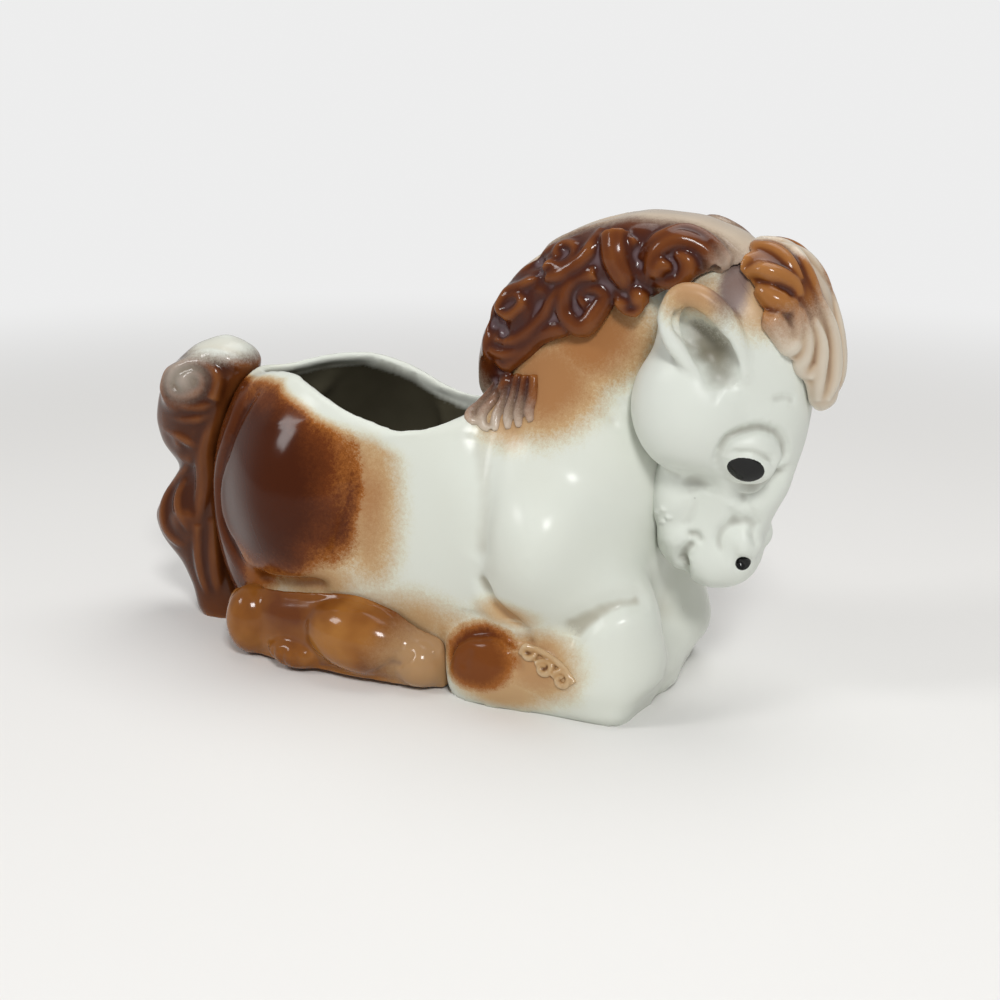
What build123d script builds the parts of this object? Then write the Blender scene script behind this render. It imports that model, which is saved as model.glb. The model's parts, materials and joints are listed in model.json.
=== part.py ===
from build123d import *
import os
from math import copysign, cos, hypot, pi, sin

os.makedirs("parts", exist_ok=True)

# A pony planter in slip-cast, glazed ceramic. The pony lies on folded legs and looks down.
# Lengths are in millimetres. +X is the way the pony faces, +Y is its left side and +Z is up.
# The origin is on the table, in the mirror plane, under the middle of the trunk.

# Casting
wall = 4.0                 # thickness of the fired wall
floor_thickness = 5.0      # bottom of the planting well
overrun = 30.0             # how far a cutting shape runs past what it cuts

# Trunk, the barrel between rump and chest
trunk_length = 140.0
trunk_width = 62.0
trunk_middle = 42.0        # height of its widest line above the table
trunk_rise = 58.0          # from the widest line up to the top of the whole barrel
trunk_drop = 50.0          # from the widest line down, past the table that trims it
rim_height = 81.6          # rim of the planting well at its highest, over the haunches
brisket_length = 30.0      # breast between the knees
brisket_width = 38.0
brisket_height = 26.0

# Neck and head
crown_height = 121.0       # top of the skull above the table
neck_length = 46.0         # from nape to throat
neck_width = 50.0
head_height = 90.5         # from crown to chin
head_depth = 41.0          # from forehead to the back of the skull
head_width = 40.0
cheek_length = 33.0        # round jowl on each side
cheek_width = 25.0
cheek_height = 38.0
jaw_length = 21.0          # lower jaw behind the muzzle
jaw_width = 20.0
jaw_height = 23.0
ear_length = 27.0          # from root to tip
ear_width = 20.0
ear_thickness = 13.0

# Hair
mane_thickness = 21.0      # from the crest in to the lower edge of the hair
mane_width = 35.0
forelock_length = 43.0     # from the crown down over the brow
forelock_depth = 24.0
forelock_width = 28.0
tail_height = 88.0
tail_depth = 33.0
tail_width = 25.0
curl_radius = 8.4          # outer radius of a full-size curl

# Legs, folded under the trunk
hind_leg_length = 80.5
hind_leg_width = 26.0
hind_leg_height = 26.0
foreleg_length = 60.5
foreleg_width = 22.0
foreleg_height = 24.0
forearm_length = 30.0      # upper foreleg, from the knee up into the shoulder
forearm_width = 28.0
forearm_height = 46.0
leg_sole = 14.0            # how far a leg's round section reaches down before the table trims it
feather_radius = 7.5       # outer radius of a full-size curl of feather at the fetlock

# Flats that each rounded form is made with
body_flats = 32
limb_flats = 16
lock_flats = 6
lock_steps = 10


def outline_turns(flats, corner):
    """Places round a unit outline. A corner of 1 gives a circle and less gives a fuller one."""
    places = []
    for i in range(flats):
        turn = 2 * pi * (i + 0.5) / flats
        across = copysign(abs(cos(turn)) ** corner, cos(turn))
        up = copysign(abs(sin(turn)) ** corner, sin(turn))
        places.append((across, up))
    return places


def cross_ring(x, y, z, half_width, rise, drop, flats, corner=1):
    """Points round an upright section across the pony, with its own reach up and down."""
    points = []
    for across, up in outline_turns(flats, corner):
        reach = rise if up > 0 else drop
        points.append((x, y + half_width * across, z + reach * up))
    return points


def level_ring(x, y, z, ahead, behind, half_width, flats, corner=1):
    """Points round a level section, with its own reach ahead and behind."""
    points = []
    for along, across in outline_turns(flats, corner):
        reach = ahead if along > 0 else behind
        points.append((x + reach * along, y + half_width * across, z))
    return points


def facet(*corners):
    return Face(Wire.make_polygon([Vector(*corner) for corner in corners], close=True))


def skin(rings):
    """A closed body through the rings. A ring of one point is a tip; a wider end is closed flat.

    The flats are split the other way on the pony's left, so the two sides mirror each other.
    """
    faces = []
    for first, second in zip(rings, rings[1:]):
        count = max(len(first), len(second))
        for i in range(count):
            j = (i + 1) % count
            if len(first) == 1:
                faces.append(facet(first[0], second[i], second[j]))
            elif len(second) == 1:
                faces.append(facet(first[i], first[j], second[0]))
            elif first[i][1] + first[j][1] + second[i][1] + second[j][1] > 0:
                faces.append(facet(first[i], first[j], second[j]))
                faces.append(facet(first[i], second[j], second[i]))
            else:
                faces.append(facet(first[i], first[j], second[i]))
                faces.append(facet(first[j], second[j], second[i]))
    for end in (rings[0], rings[-1]):
        if len(end) > 1:
            faces.append(facet(*end))
    return Solid(Shell(faces))


def swollen(rings, swells):
    """The rings pushed out from the mirror plane where a swelling covers them.

    A swelling is its place (x, z), its reach each way and its share of extra width.
    """
    pushed = []
    for ring in rings:
        points = []
        for x, y, z in ring:
            factor = 1
            for swell_x, swell_z, reach_x, reach_z, share in swells:
                distance = hypot((x - swell_x) / reach_x, (z - swell_z) / reach_z)
                if distance < 1:
                    factor += share * (1 - distance**2) ** 2
            points.append((x, y * factor, z))
        pushed.append(points)
    return pushed


def egg(length, width, height, place, flats=limb_flats):
    """A rounded mass of three full sizes."""
    steps = flats // 2
    x, y, z = place
    rings = [[(x - length / 2, y, z)]]
    for i in range(1, steps):
        turn = pi * i / steps
        half_width = sin(turn) * width / 2
        half_height = sin(turn) * height / 2
        station = x - cos(turn) * length / 2
        rings.append(cross_ring(station, y, z, half_width, half_height, half_height, flats))
    rings.append([(x + length / 2, y, z)])
    return skin(rings)


def left_of(shape):
    """The mirror image of a member of the right side."""
    return mirror(shape, about=Plane.XZ)


def below(height):
    """Everything under a level."""
    reach = 2 * trunk_length
    return Pos(0, 0, height - reach / 2) * Box(2 * reach, 2 * reach, reach)


# Trunk
# Rows run from rump to chest: share of the length, then of the half width, rise and drop
trunk_shares = (
    (0.00, 0.00, 0.00, 0.00),
    (0.015, 0.30, 0.28, 0.42),
    (0.05, 0.56, 0.48, 0.70),
    (0.11, 0.78, 0.68, 0.88),
    (0.19, 0.90, 0.86, 0.97),
    (0.27, 0.96, 0.96, 1.00),
    (0.36, 0.99, 1.00, 1.00),
    (0.45, 1.00, 1.00, 1.00),
    (0.54, 1.00, 0.97, 1.00),
    (0.61, 1.00, 0.90, 1.00),
    (0.66, 1.00, 0.80, 1.00),
    (0.71, 1.00, 0.68, 1.00),
    (0.78, 1.00, 0.62, 1.00),
    (0.85, 0.97, 0.56, 0.96),
    (0.91, 0.84, 0.47, 0.84),
    (0.96, 0.58, 0.34, 0.62),
    (0.99, 0.28, 0.17, 0.32),
    (1.00, 0.00, 0.00, 0.00),
)
# Rows run along the well in the same shares. Its rise passes the rim as far as the neck
well_shares = (
    (0.045, 0.00, 0.00, 0.00),
    (0.06, 0.34, 0.36, 0.50),
    (0.11, 0.70, 0.64, 0.88),
    (0.19, 0.86, 0.86, 0.97),
    (0.27, 0.94, 0.98, 1.00),
    (0.36, 0.98, 1.04, 1.00),
    (0.48, 1.00, 1.04, 1.00),
    (0.57, 1.00, 0.98, 1.00),
    (0.61, 1.00, 0.90, 1.00),
    (0.65, 1.00, 0.42, 1.00),
    (0.78, 1.00, 0.40, 1.00),
    (0.86, 0.92, 0.34, 0.90),
    (0.92, 0.70, 0.24, 0.66),
    (0.955, 0.00, 0.00, 0.00),
)
# Swellings: place along and up, reach along and up, share of extra width
haunch_shares = (0.305, 0.52, 0.20, 0.40, 0.25)
shoulder_shares = (0.86, 0.49, 0.19, 0.40, 0.34)
flank_shares = (0.56, 0.45, 0.14, 0.36, -0.07)
# Rim, seen from the side: share of the length, share of the rim's height
rim_shares = (
    (0.10, 0.935),
    (0.20, 0.99),
    (0.285, 1.00),
    (0.36, 0.955),
    (0.43, 0.90),
    (0.50, 0.868),
    (0.58, 0.872),
    (0.65, 0.925),
    (0.70, 1.00),
)


def trunk_x(share):
    return (share - 0.5) * trunk_length


def trunk_swells():
    top = trunk_middle + trunk_rise
    swells = []
    for along, up, reach_along, reach_up, share in (haunch_shares, shoulder_shares, flank_shares):
        swells.append((
            trunk_x(along),
            up * top,
            reach_along * trunk_length,
            reach_up * top,
            share,
        ))
    return swells


def barrel(rows, inset):
    """A body along the trunk whose sections are smaller than the rows by the inset."""
    rings = []
    for along, width_share, rise_share, drop_share in rows:
        if width_share == 0:
            rings.append([(trunk_x(along), 0, trunk_middle)])
        else:
            half_width = width_share * trunk_width / 2 - inset
            rise = rise_share * trunk_rise - inset
            drop = drop_share * trunk_drop - inset
            rings.append(cross_ring(
                trunk_x(along), 0, trunk_middle, half_width, rise, drop, body_flats
            ))
    return skin(swollen(rings, trunk_swells()))


def rim_cut():
    """What lies over the rim line, cut away right across the barrel."""
    line = [(trunk_x(along), up * rim_height) for along, up in rim_shares]
    lid = rim_height + overrun
    outline = Polyline(*line) + Polyline(line[-1], (line[-1][0], lid), (line[0][0], lid), line[0])
    return extrude(Plane.XZ * make_face(outline), amount=trunk_width, both=True)


# Neck
# Rows run up: shares of the crown's height and of the trunk's length from the middle,
# then of half the neck's length ahead and behind, and of half its width
neck_shares = (
    (0.34, 0.330, 0.96, 0.70, 0.88),
    (0.43, 0.340, 1.08, 0.80, 1.00),
    (0.52, 0.345, 1.08, 0.95, 1.04),
    (0.59, 0.335, 1.04, 1.08, 0.97),
    (0.66, 0.330, 0.96, 1.00, 0.84),
    (0.74, 0.345, 1.00, 1.00, 0.74),
    (0.82, 0.380, 1.00, 0.99, 0.67),
    (0.89, 0.425, 0.92, 0.95, 0.56),
    (0.945, 0.460, 0.74, 0.74, 0.42),
    (0.985, 0.475, 0.00, 0.00, 0.00),
)


def neck():
    rings = []
    for up, along, ahead, behind, width in neck_shares:
        x = along * trunk_length
        z = up * crown_height
        if width == 0:
            rings.append([(x, 0, z)])
        else:
            ahead_reach = ahead * neck_length / 2
            behind_reach = behind * neck_length / 2
            half_width = width * neck_width / 2
            rings.append(level_ring(x, 0, z, ahead_reach, behind_reach, half_width, body_flats))
    return skin(rings)


def brisket():
    place = (trunk_x(0.943), 0, brisket_height * 0.3)
    return egg(brisket_length, brisket_width, brisket_height, place)


# Head
# Rows run down from the crown: share of the head's height, then of its depth for the middle,
# the reach ahead and the reach behind, and of half its width
head_shares = (
    (0.00, 0.00, 0.00, 0.00, 0.00),
    (0.03, 0.00, 0.30, 0.28, 0.52),
    (0.09, 0.00, 0.42, 0.40, 0.76),
    (0.16, 0.01, 0.51, 0.44, 0.92),
    (0.24, 0.02, 0.56, 0.44, 1.00),
    (0.32, 0.02, 0.57, 0.44, 1.00),
    (0.40, 0.03, 0.55, 0.44, 0.97),
    (0.48, 0.05, 0.51, 0.44, 0.90),
    (0.55, 0.08, 0.46, 0.42, 0.80),
    (0.62, 0.11, 0.39, 0.38, 0.67),
    (0.69, 0.12, 0.34, 0.34, 0.57),
    (0.76, 0.12, 0.31, 0.33, 0.55),
    (0.83, 0.10, 0.31, 0.31, 0.60),
    (0.90, 0.07, 0.29, 0.28, 0.60),
    (0.955, 0.05, 0.21, 0.22, 0.46),
    (0.99, 0.02, 0.10, 0.11, 0.22),
    (1.00, 0.00, 0.00, 0.00, 0.00),
)
head_place_share = 0.60       # of the trunk's length, from the middle to the line of the skull
head_corner = 0.88            # how full its level sections are
# Swellings: place ahead of that line and down, reach along and down, share of extra width
eye_shares = (0.32, 0.56, 0.25, 0.11, 0.34)
nostril_shares = (0.29, 0.865, 0.17, 0.075, 0.26)
temple_shares = (0.38, 0.40, 0.25, 0.13, -0.10)
# Rounded masses: place ahead, out as a share of the head's width, and down
cheek_place_shares = (-0.08, 0.30, 0.435)
jaw_place_shares = (-0.17, 0.0, 0.855)


def head_x(share):
    return head_place_share * trunk_length + share * head_depth


def head_z(share):
    return crown_height - share * head_height


def head():
    rings = []
    for down, middle, ahead, behind, width in head_shares:
        x = head_x(middle)
        z = head_z(down)
        if width == 0:
            rings.append([(x, 0, z)])
        else:
            ahead_reach = ahead * head_depth
            behind_reach = behind * head_depth
            half_width = width * head_width / 2
            rings.append(level_ring(
                x, 0, z, ahead_reach, behind_reach, half_width, body_flats, head_corner
            ))
    swells = []
    for ahead, down, reach_ahead, reach_down, share in (
        eye_shares, nostril_shares, temple_shares
    ):
        swells.append((
            head_x(ahead),
            head_z(down),
            reach_ahead * head_depth,
            reach_down * head_height,
            share,
        ))
    rings.reverse()
    return skin(swollen(rings, swells)) + cheeks() + jaw()


def head_place(shares):
    ahead, out, down = shares
    return (head_x(ahead), -out * head_width, head_z(down))


def cheeks():
    right = egg(cheek_length, cheek_width, cheek_height, head_place(cheek_place_shares))
    return [right, left_of(right)]


def jaw():
    return egg(jaw_length, jaw_width, jaw_height, head_place(jaw_place_shares))


# Ears
ear_place_shares = (-0.02, 0.50, 0.20)   # ahead of the skull's line, out and down from the crown
ear_tilt = 28                            # degrees that the tip leans back
scoop_share = 0.74                       # hollow of the ear, of the ear's own size


def right_ear():
    leaf = egg(ear_width, ear_thickness, ear_length, (0, 0, 0))
    scoop_width = scoop_share * ear_width
    scoop_length = scoop_share * ear_length
    hollow = egg(scoop_width, ear_thickness, scoop_length, (0, -ear_thickness / 2, 0))
    return Pos(*head_place(ear_place_shares)) * Rot(0, -ear_tilt, 0) * (leaf - hollow)


# Hair
def hair_rings(path, flats, corner=1):
    """Rings square to a path that runs in an upright plane.

    Each station is (x, y, z, outward, inward, half width). Outward is left of the way it runs.
    """
    rings = []
    last = len(path) - 1
    for i, (x, y, z, outward, inward, half_width) in enumerate(path):
        if half_width == 0:
            rings.append([(x, y, z)])
            continue
        before = path[max(i - 1, 0)]
        after = path[min(i + 1, last)]
        run = hypot(after[0] - before[0], after[2] - before[2])
        lean_x = -(after[2] - before[2]) / run
        lean_z = (after[0] - before[0]) / run
        points = []
        for across, up in outline_turns(flats, corner):
            reach = (outward if up > 0 else inward) * up
            points.append((x + lean_x * reach, y + half_width * across, z + lean_z * reach))
        rings.append(points)
    return rings


strand_share = 0.64        # thickness of a rolled lock, of the curl's radius


def lock(route, thickness):
    """A strand of hair, thick in the middle and drawn out to a tip at each end."""
    steps = len(route) - 1
    path = []
    for i, (x, y, z) in enumerate(route):
        half = thickness / 2 * sin(pi * i / steps) ** 0.5
        path.append((x, y, z, half, half, half))
    path[0] = (*route[0], 0, 0, 0)
    path[steps] = (*route[steps], 0, 0, 0)
    return skin(hair_rings(path, lock_flats))


def curl(place, size, turns, start):
    """A lock rolled up into a spiral, seen from the pony's right."""
    x, y, z = place
    thickness = strand_share * size
    route = []
    for i in range(lock_steps + 1):
        share = i / lock_steps
        turn = 2 * pi * (start + turns * share)
        radius = size * (1 - 0.8 * share)
        sunk = thickness * (1 - share) ** 3 * 0.5
        route.append((x + radius * cos(turn), y + sunk, z + radius * sin(turn)))
    return lock(route, thickness)


# Mane
# Rows run up the crest from the withers to the crown: shares of the trunk's length from the
# middle and of the crown's height, then of the thickness out and in, and of half the width
mane_shares = (
    (0.150, 0.590, 0.00, 0.00, 0.00),
    (0.175, 0.640, 0.38, 0.50, 0.55),
    (0.193, 0.711, 0.43, 0.70, 0.80),
    (0.214, 0.781, 0.45, 0.80, 0.93),
    (0.243, 0.835, 0.48, 0.86, 1.00),
    (0.282, 0.884, 0.48, 0.88, 1.00),
    (0.329, 0.926, 0.50, 0.88, 1.00),
    (0.386, 0.955, 0.49, 0.84, 1.00),
    (0.454, 0.975, 0.50, 0.76, 0.98),
    (0.539, 0.971, 0.48, 0.64, 0.92),
    (0.605, 0.955, 0.42, 0.55, 0.84),
    (0.655, 0.935, 0.30, 0.40, 0.66),
    (0.690, 0.915, 0.00, 0.00, 0.00),
)
mane_corner = 0.72         # how full the band of hair is in section
# Curls of the right side: shares of the trunk's length and of the crown's height,
# size and turns, where it starts in turns, and its place out as a share of half the mane's width
mane_curl_shares = (
    (0.225, 0.665, 0.85, 1.1, 0.60, 0.90),
    (0.205, 0.775, 0.70, 1.2, 0.35, 0.92),
    (0.250, 0.855, 0.72, 1.2, 0.30, 1.00),
    (0.322, 0.925, 0.75, 1.2, 0.20, 1.03),
    (0.372, 0.860, 0.90, 1.3, 0.10, 1.02),
    (0.418, 0.975, 0.78, 1.2, 0.20, 1.02),
    (0.475, 0.890, 0.78, 1.2, 0.05, 1.02),
    (0.547, 0.968, 0.98, 1.3, 0.15, 1.00),
)


def mane():
    path = []
    for along, up, outward, inward, width in mane_shares:
        path.append((
            along * trunk_length,
            0,
            up * crown_height,
            outward * mane_thickness,
            inward * mane_thickness,
            width * mane_width / 2,
        ))
    band = skin(hair_rings(path, body_flats // 2, mane_corner))
    curls = []
    for along, up, size, turns, start, out in mane_curl_shares:
        spot = (along * trunk_length, -out * mane_width / 2, up * crown_height)
        curls.append(curl(spot, size * curl_radius, turns, start))
    return band + curls + [left_of(one) for one in curls]


# Forelock
# Rows run down over the brow: share of the length, then for the middle, ahead of the skull's
# line, a share of the head's depth, then shares of its own depth ahead and behind and of half
# its width
forelock_shares = (
    (0.00, 0.20, 0.00, 0.00, 0.00),
    (0.05, 0.22, 0.36, 0.60, 0.66),
    (0.14, 0.30, 0.40, 0.66, 0.92),
    (0.28, 0.38, 0.44, 0.55, 1.00),
    (0.46, 0.42, 0.46, 0.55, 1.00),
    (0.64, 0.48, 0.42, 0.50, 0.85),
    (0.80, 0.54, 0.34, 0.40, 0.62),
    (0.93, 0.60, 0.22, 0.24, 0.34),
    (1.00, 0.63, 0.00, 0.00, 0.00),
)
# Curls of the right side: share of the length down, place ahead, size, turns, start and out
forelock_curl_shares = (
    (0.16, 0.28, 0.70, 1.2, 0.25, 0.92),
    (0.37, 0.36, 0.66, 1.2, 0.15, 1.00),
    (0.58, 0.42, 0.66, 1.3, 0.40, 0.90),
)


def forelock_z(share):
    return crown_height * 1.013 - share * forelock_length


def forelock():
    rings = []
    for down, place, ahead, behind, width in forelock_shares:
        x = head_x(place)
        z = forelock_z(down)
        if width == 0:
            rings.append([(x, 0, z)])
        else:
            ahead_reach = ahead * forelock_depth
            behind_reach = behind * forelock_depth
            half_width = width * forelock_width / 2
            flats = body_flats // 2
            rings.append(level_ring(x, 0, z, ahead_reach, behind_reach, half_width, flats))
    curls = []
    for down, place, size, turns, start, out in forelock_curl_shares:
        spot = (head_x(place), -out * forelock_width / 2, forelock_z(down))
        curls.append(curl(spot, size * curl_radius, turns, start))
    rings.reverse()
    return skin(rings) + curls + [left_of(one) for one in curls]


# Tail
# Rows run up: share of the height, then of its depth for the middle behind the rump's end,
# the reach behind and the reach ahead, and of half its width
tail_shares = (
    (-0.04, 0.06, 0.26, 0.36, 0.68),
    (0.09, 0.09, 0.28, 0.36, 0.72),
    (0.18, 0.15, 0.36, 0.36, 0.70),
    (0.26, 0.21, 0.52, 0.40, 0.82),
    (0.34, 0.24, 0.56, 0.40, 0.86),
    (0.45, 0.18, 0.42, 0.36, 0.74),
    (0.525, 0.12, 0.32, 0.36, 0.66),
    (0.60, 0.15, 0.50, 0.40, 0.82),
    (0.69, 0.12, 0.58, 0.42, 0.98),
    (0.79, 0.09, 0.54, 0.44, 1.00),
    (0.88, 0.03, 0.44, 0.44, 0.90),
    (0.955, -0.05, 0.28, 0.28, 0.62),
    (1.00, -0.09, 0.00, 0.00, 0.00),
)
# Curls of the right side: share of the height, place behind, size, turns, start and out
tail_curl_shares = (
    (0.82, 0.20, 1.00, 1.4, 0.10, 0.94),
    (0.63, 0.20, 0.80, 1.2, 0.55, 0.86),
    (0.34, 0.28, 0.85, 1.2, 0.50, 0.80),
)


def tail_x(share):
    return -trunk_length / 2 - share * tail_depth


def tail():
    rings = []
    for up, place, behind, ahead, width in tail_shares:
        x = tail_x(place)
        z = up * tail_height
        if width == 0:
            rings.append([(x, 0, z)])
        else:
            ahead_reach = ahead * tail_depth
            behind_reach = behind * tail_depth
            half_width = width * tail_width / 2
            flats = body_flats // 2
            rings.append(level_ring(x, 0, z, ahead_reach, behind_reach, half_width, flats))
    curls = []
    for up, place, size, turns, start, out in tail_curl_shares:
        spot = (tail_x(place), -out * tail_width / 2, up * tail_height)
        curls.append(curl(spot, size * curl_radius, turns, start))
    return skin(rings) + curls + [left_of(one) for one in curls]


# Legs
# Rows run forward: share of the leg's length, then shares of half the trunk's width for the
# middle, of half the leg's width and of its height above the middle
hind_leg_shares = (
    (0.00, 0.66, 0.00, 0.00),
    (0.05, 0.68, 0.54, 0.28),
    (0.16, 0.74, 0.72, 0.42),
    (0.31, 0.81, 0.88, 0.48),
    (0.46, 0.82, 0.96, 0.56),
    (0.62, 0.84, 1.00, 0.58),
    (0.77, 0.81, 0.96, 0.42),
    (0.845, 0.81, 0.81, 0.24),
    (0.91, 0.77, 0.69, 0.19),
    (0.97, 0.77, 0.52, 0.12),
    (1.00, 0.77, 0.00, 0.00),
)
foreleg_shares = (
    (0.00, 0.77, 0.00, 0.00),
    (0.05, 0.78, 0.62, 0.34),
    (0.165, 0.81, 0.92, 0.50),
    (0.30, 0.81, 1.00, 0.54),
    (0.41, 0.81, 0.92, 0.38),
    (0.51, 0.80, 0.86, 0.29),
    (0.645, 0.80, 0.86, 0.27),
    (0.777, 0.77, 1.00, 0.38),
    (0.893, 0.66, 1.20, 0.44),
    (0.96, 0.60, 1.05, 0.32),
    (1.00, 0.58, 0.00, 0.00),
)
leg_middle_share = 0.42       # height of a leg's middle, of the leg's height
leg_corner = 0.9              # how full its sections are
# Forearm: share of the foreleg's length, out, and share of its own height
forearm_place_shares = (0.75, 0.60, 0.44)


def lying_leg(rows, rear, length, width, height):
    """A folded leg of the right side, round above and trimmed flat by the table."""
    z = leg_middle_share * height
    rings = []
    for along, out, width_share, rise_share in rows:
        x = rear + along * length
        y = -out * trunk_width / 2
        if width_share == 0:
            rings.append([(x, y, z)])
        else:
            half_width = width_share * width / 2
            rise = rise_share * height
            rings.append(cross_ring(
                x, y, z, half_width, rise, leg_sole, limb_flats, leg_corner
            ))
    return skin(rings)


def right_hind_leg():
    rear = trunk_x(0.093)
    return lying_leg(
        hind_leg_shares, rear, hind_leg_length, hind_leg_width, hind_leg_height
    )


# Feather curls on the outside of the fetlock: shares of the foreleg's length and height,
# size, turns, start, and how far out of the leg's middle as a share of half its width
fetlock_place_share = 0.80
feather_shares = (
    (0.46, 0.58, 0.80, 1.3, 0.10, 0.80),
    (0.56, 0.50, 0.72, 1.3, 0.60, 0.84),
    (0.68, 0.40, 0.80, 1.3, 0.20, 0.88),
)


def right_foreleg():
    rear = trunk_x(0.621)
    lower = lying_leg(foreleg_shares, rear, foreleg_length, foreleg_width, foreleg_height)
    along, out, up = forearm_place_shares
    place = (rear + along * foreleg_length, -out * trunk_width / 2, up * forearm_height)
    feather = []
    for along, up, size, turns, start, out in feather_shares:
        x = rear + along * foreleg_length
        y = -(fetlock_place_share * trunk_width + out * foreleg_width) / 2
        z = up * foreleg_height
        feather.append(curl((x, y, z), size * feather_radius, turns, start))
    return lower + egg(forearm_length, forearm_width, forearm_height, place) + feather


# Assembly. Each member is cut where a larger one passes, so that they meet face to face
def assembly():
    """Each named piece of the planter, seated on its neighbours."""
    table = below(0)
    barrel_below_rim = barrel(trunk_shares, 0) - rim_cut()
    body = barrel_below_rim + neck() + brisket() - table
    well = barrel(well_shares, wall) - below(floor_thickness)
    skull = head() - body
    crest = mane() - body - skull
    ear = right_ear() - skull - crest - body
    foreleg = right_foreleg() - body - table
    hind_leg = right_hind_leg() - body - foreleg - table
    return {
        "body_vessel": body - well,
        "head": skull,
        "ear_right": ear,
        "ear_left": left_of(ear),
        "mane": crest,
        "forelock": forelock() - skull - crest,
        "tail": tail() - body - table,
        "hind_leg_right": hind_leg,
        "hind_leg_left": left_of(hind_leg),
        "foreleg_right": foreleg,
        "foreleg_left": left_of(foreleg),
    }


for name, piece in assembly().items():
    export_step(piece, f"parts/{name}.step")
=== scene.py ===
# %% [markdown]
# # A lying pony planter, dressed in Blender
#
# The object is a hollow pony of slip-cast earthenware. It lies down, its head is tucked towards
# its chest, and its back is open as a well for soil. Real ones are cast in a plaster mould, so
# every form is soft, and every edge is rounded by the glaze that ran over it.
#
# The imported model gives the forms, the places and the sizes. Here each form is copied, built up
# with rolls and eggs of clay, fused, smoothed and glazed, much as a modeller works.

import json
import math

import bpy
import numpy as np
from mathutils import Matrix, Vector
from mathutils.bvhtree import BVHTree

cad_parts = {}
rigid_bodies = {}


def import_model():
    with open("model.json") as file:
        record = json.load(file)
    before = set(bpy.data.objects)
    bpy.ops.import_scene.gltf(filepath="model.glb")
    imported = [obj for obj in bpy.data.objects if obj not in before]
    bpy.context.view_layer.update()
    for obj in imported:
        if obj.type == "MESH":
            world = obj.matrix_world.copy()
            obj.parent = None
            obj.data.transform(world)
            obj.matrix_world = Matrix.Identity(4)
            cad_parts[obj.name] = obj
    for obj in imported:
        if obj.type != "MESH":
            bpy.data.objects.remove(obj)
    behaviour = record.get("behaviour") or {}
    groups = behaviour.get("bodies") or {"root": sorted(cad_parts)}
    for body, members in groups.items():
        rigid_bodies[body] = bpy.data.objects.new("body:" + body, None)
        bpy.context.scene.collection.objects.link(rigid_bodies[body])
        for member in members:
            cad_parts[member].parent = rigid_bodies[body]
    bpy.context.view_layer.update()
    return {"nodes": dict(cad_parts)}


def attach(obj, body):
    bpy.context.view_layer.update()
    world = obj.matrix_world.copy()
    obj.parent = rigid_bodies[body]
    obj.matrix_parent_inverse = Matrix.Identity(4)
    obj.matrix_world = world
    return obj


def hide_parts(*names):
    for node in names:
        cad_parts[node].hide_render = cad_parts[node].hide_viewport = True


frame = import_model()

# %% [markdown]
# ## Small helpers
#
# The tables below are in millimetres, and Blender works in metres. Operators act on everything
# that is selected, so each step first selects just the piece that it is about.

# %% Millimetres, selecting and copying
MM = 0.001


def select_only(piece=None):
    """Leaves one object selected and active, or none selected."""
    if bpy.context.object and bpy.context.object.mode != "OBJECT":
        bpy.ops.object.mode_set(mode="OBJECT")
    bpy.ops.object.select_all(action="DESELECT")
    if piece:
        piece.select_set(True)
        bpy.context.view_layer.objects.active = piece


def join(piece, others):
    """Joins the others into the piece."""
    if others:
        select_only(piece)
        for other in others:
            other.select_set(True)
        bpy.ops.object.join()
    return piece


def duplicate(piece, name):
    """A copy with a mesh of its own."""
    select_only(piece)
    bpy.ops.object.duplicate()
    copy = bpy.context.object
    copy.name = name
    return copy


def rough_copy(name, *nodes):
    """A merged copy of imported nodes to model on. The nodes themselves are left alone."""
    copies = []
    for node in nodes:
        copies.append(duplicate(frame["nodes"][node], name))
        bpy.ops.object.parent_clear(type="CLEAR_KEEP_TRANSFORM")
    piece = join(copies[0], copies[1:])
    select_only(piece)
    bpy.ops.object.mode_set(mode="EDIT")
    bpy.ops.mesh.select_all(action="SELECT")
    bpy.ops.mesh.remove_doubles(threshold=0.001 * MM)
    bpy.ops.object.mode_set(mode="OBJECT")
    piece.data.materials.clear()
    print(piece.name, "copied,", len(piece.data.polygons), "faces")
    return piece


# %% Eggs and blocks
def settle(lump, scale, turn, location):
    """Scales, turns and places a new primitive, and applies all three. The turn is in degrees."""
    lump.scale = scale
    lump.rotation_euler = [math.radians(angle) for angle in turn]
    lump.location = location
    bpy.ops.object.transform_apply(location=True, rotation=True, scale=True)
    return lump


def egg(place, radii, turn=(0, 0, 0)):
    """An egg of clay at a place in mm, with its three radii."""
    select_only()
    bpy.ops.mesh.primitive_uv_sphere_add(segments=48, ring_count=24, radius=MM)
    return settle(bpy.context.object, radii, turn, Vector(place) * MM)


def eggs(table, side):
    """An egg for each row of centre, radii and perhaps turn, on that side of the pony."""
    return [egg((x, side * y, z), *rest) for (x, y, z), *rest in table]


def block(place, size, tilt):
    """A block to cut with, its place and size in mm, tilted about the Y axis by degrees."""
    select_only()
    bpy.ops.mesh.primitive_cube_add(size=1)
    size = [v * MM for v in size]
    return settle(bpy.context.object, size, (0, tilt, 0), [v * MM for v in place])


# %% Modifiers: fusing clay and cutting it
def modify(piece, kind, **values):
    """Adds a modifier, sets it and applies it."""
    select_only(piece)
    bpy.ops.object.modifier_add(type=kind)
    modifier = piece.modifiers[-1]
    for key, value in values.items():
        setattr(modifier, key, value)
    bpy.ops.object.modifier_apply(modifier=modifier.name)


def fuse(piece, grain):
    """Fuses overlapping clay into one skin of that grain in mm."""
    modify(piece, "REMESH", mode="VOXEL", voxel_size=grain * MM, use_smooth_shade=True)
    print(piece.name, len(piece.data.vertices), "points")


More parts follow.
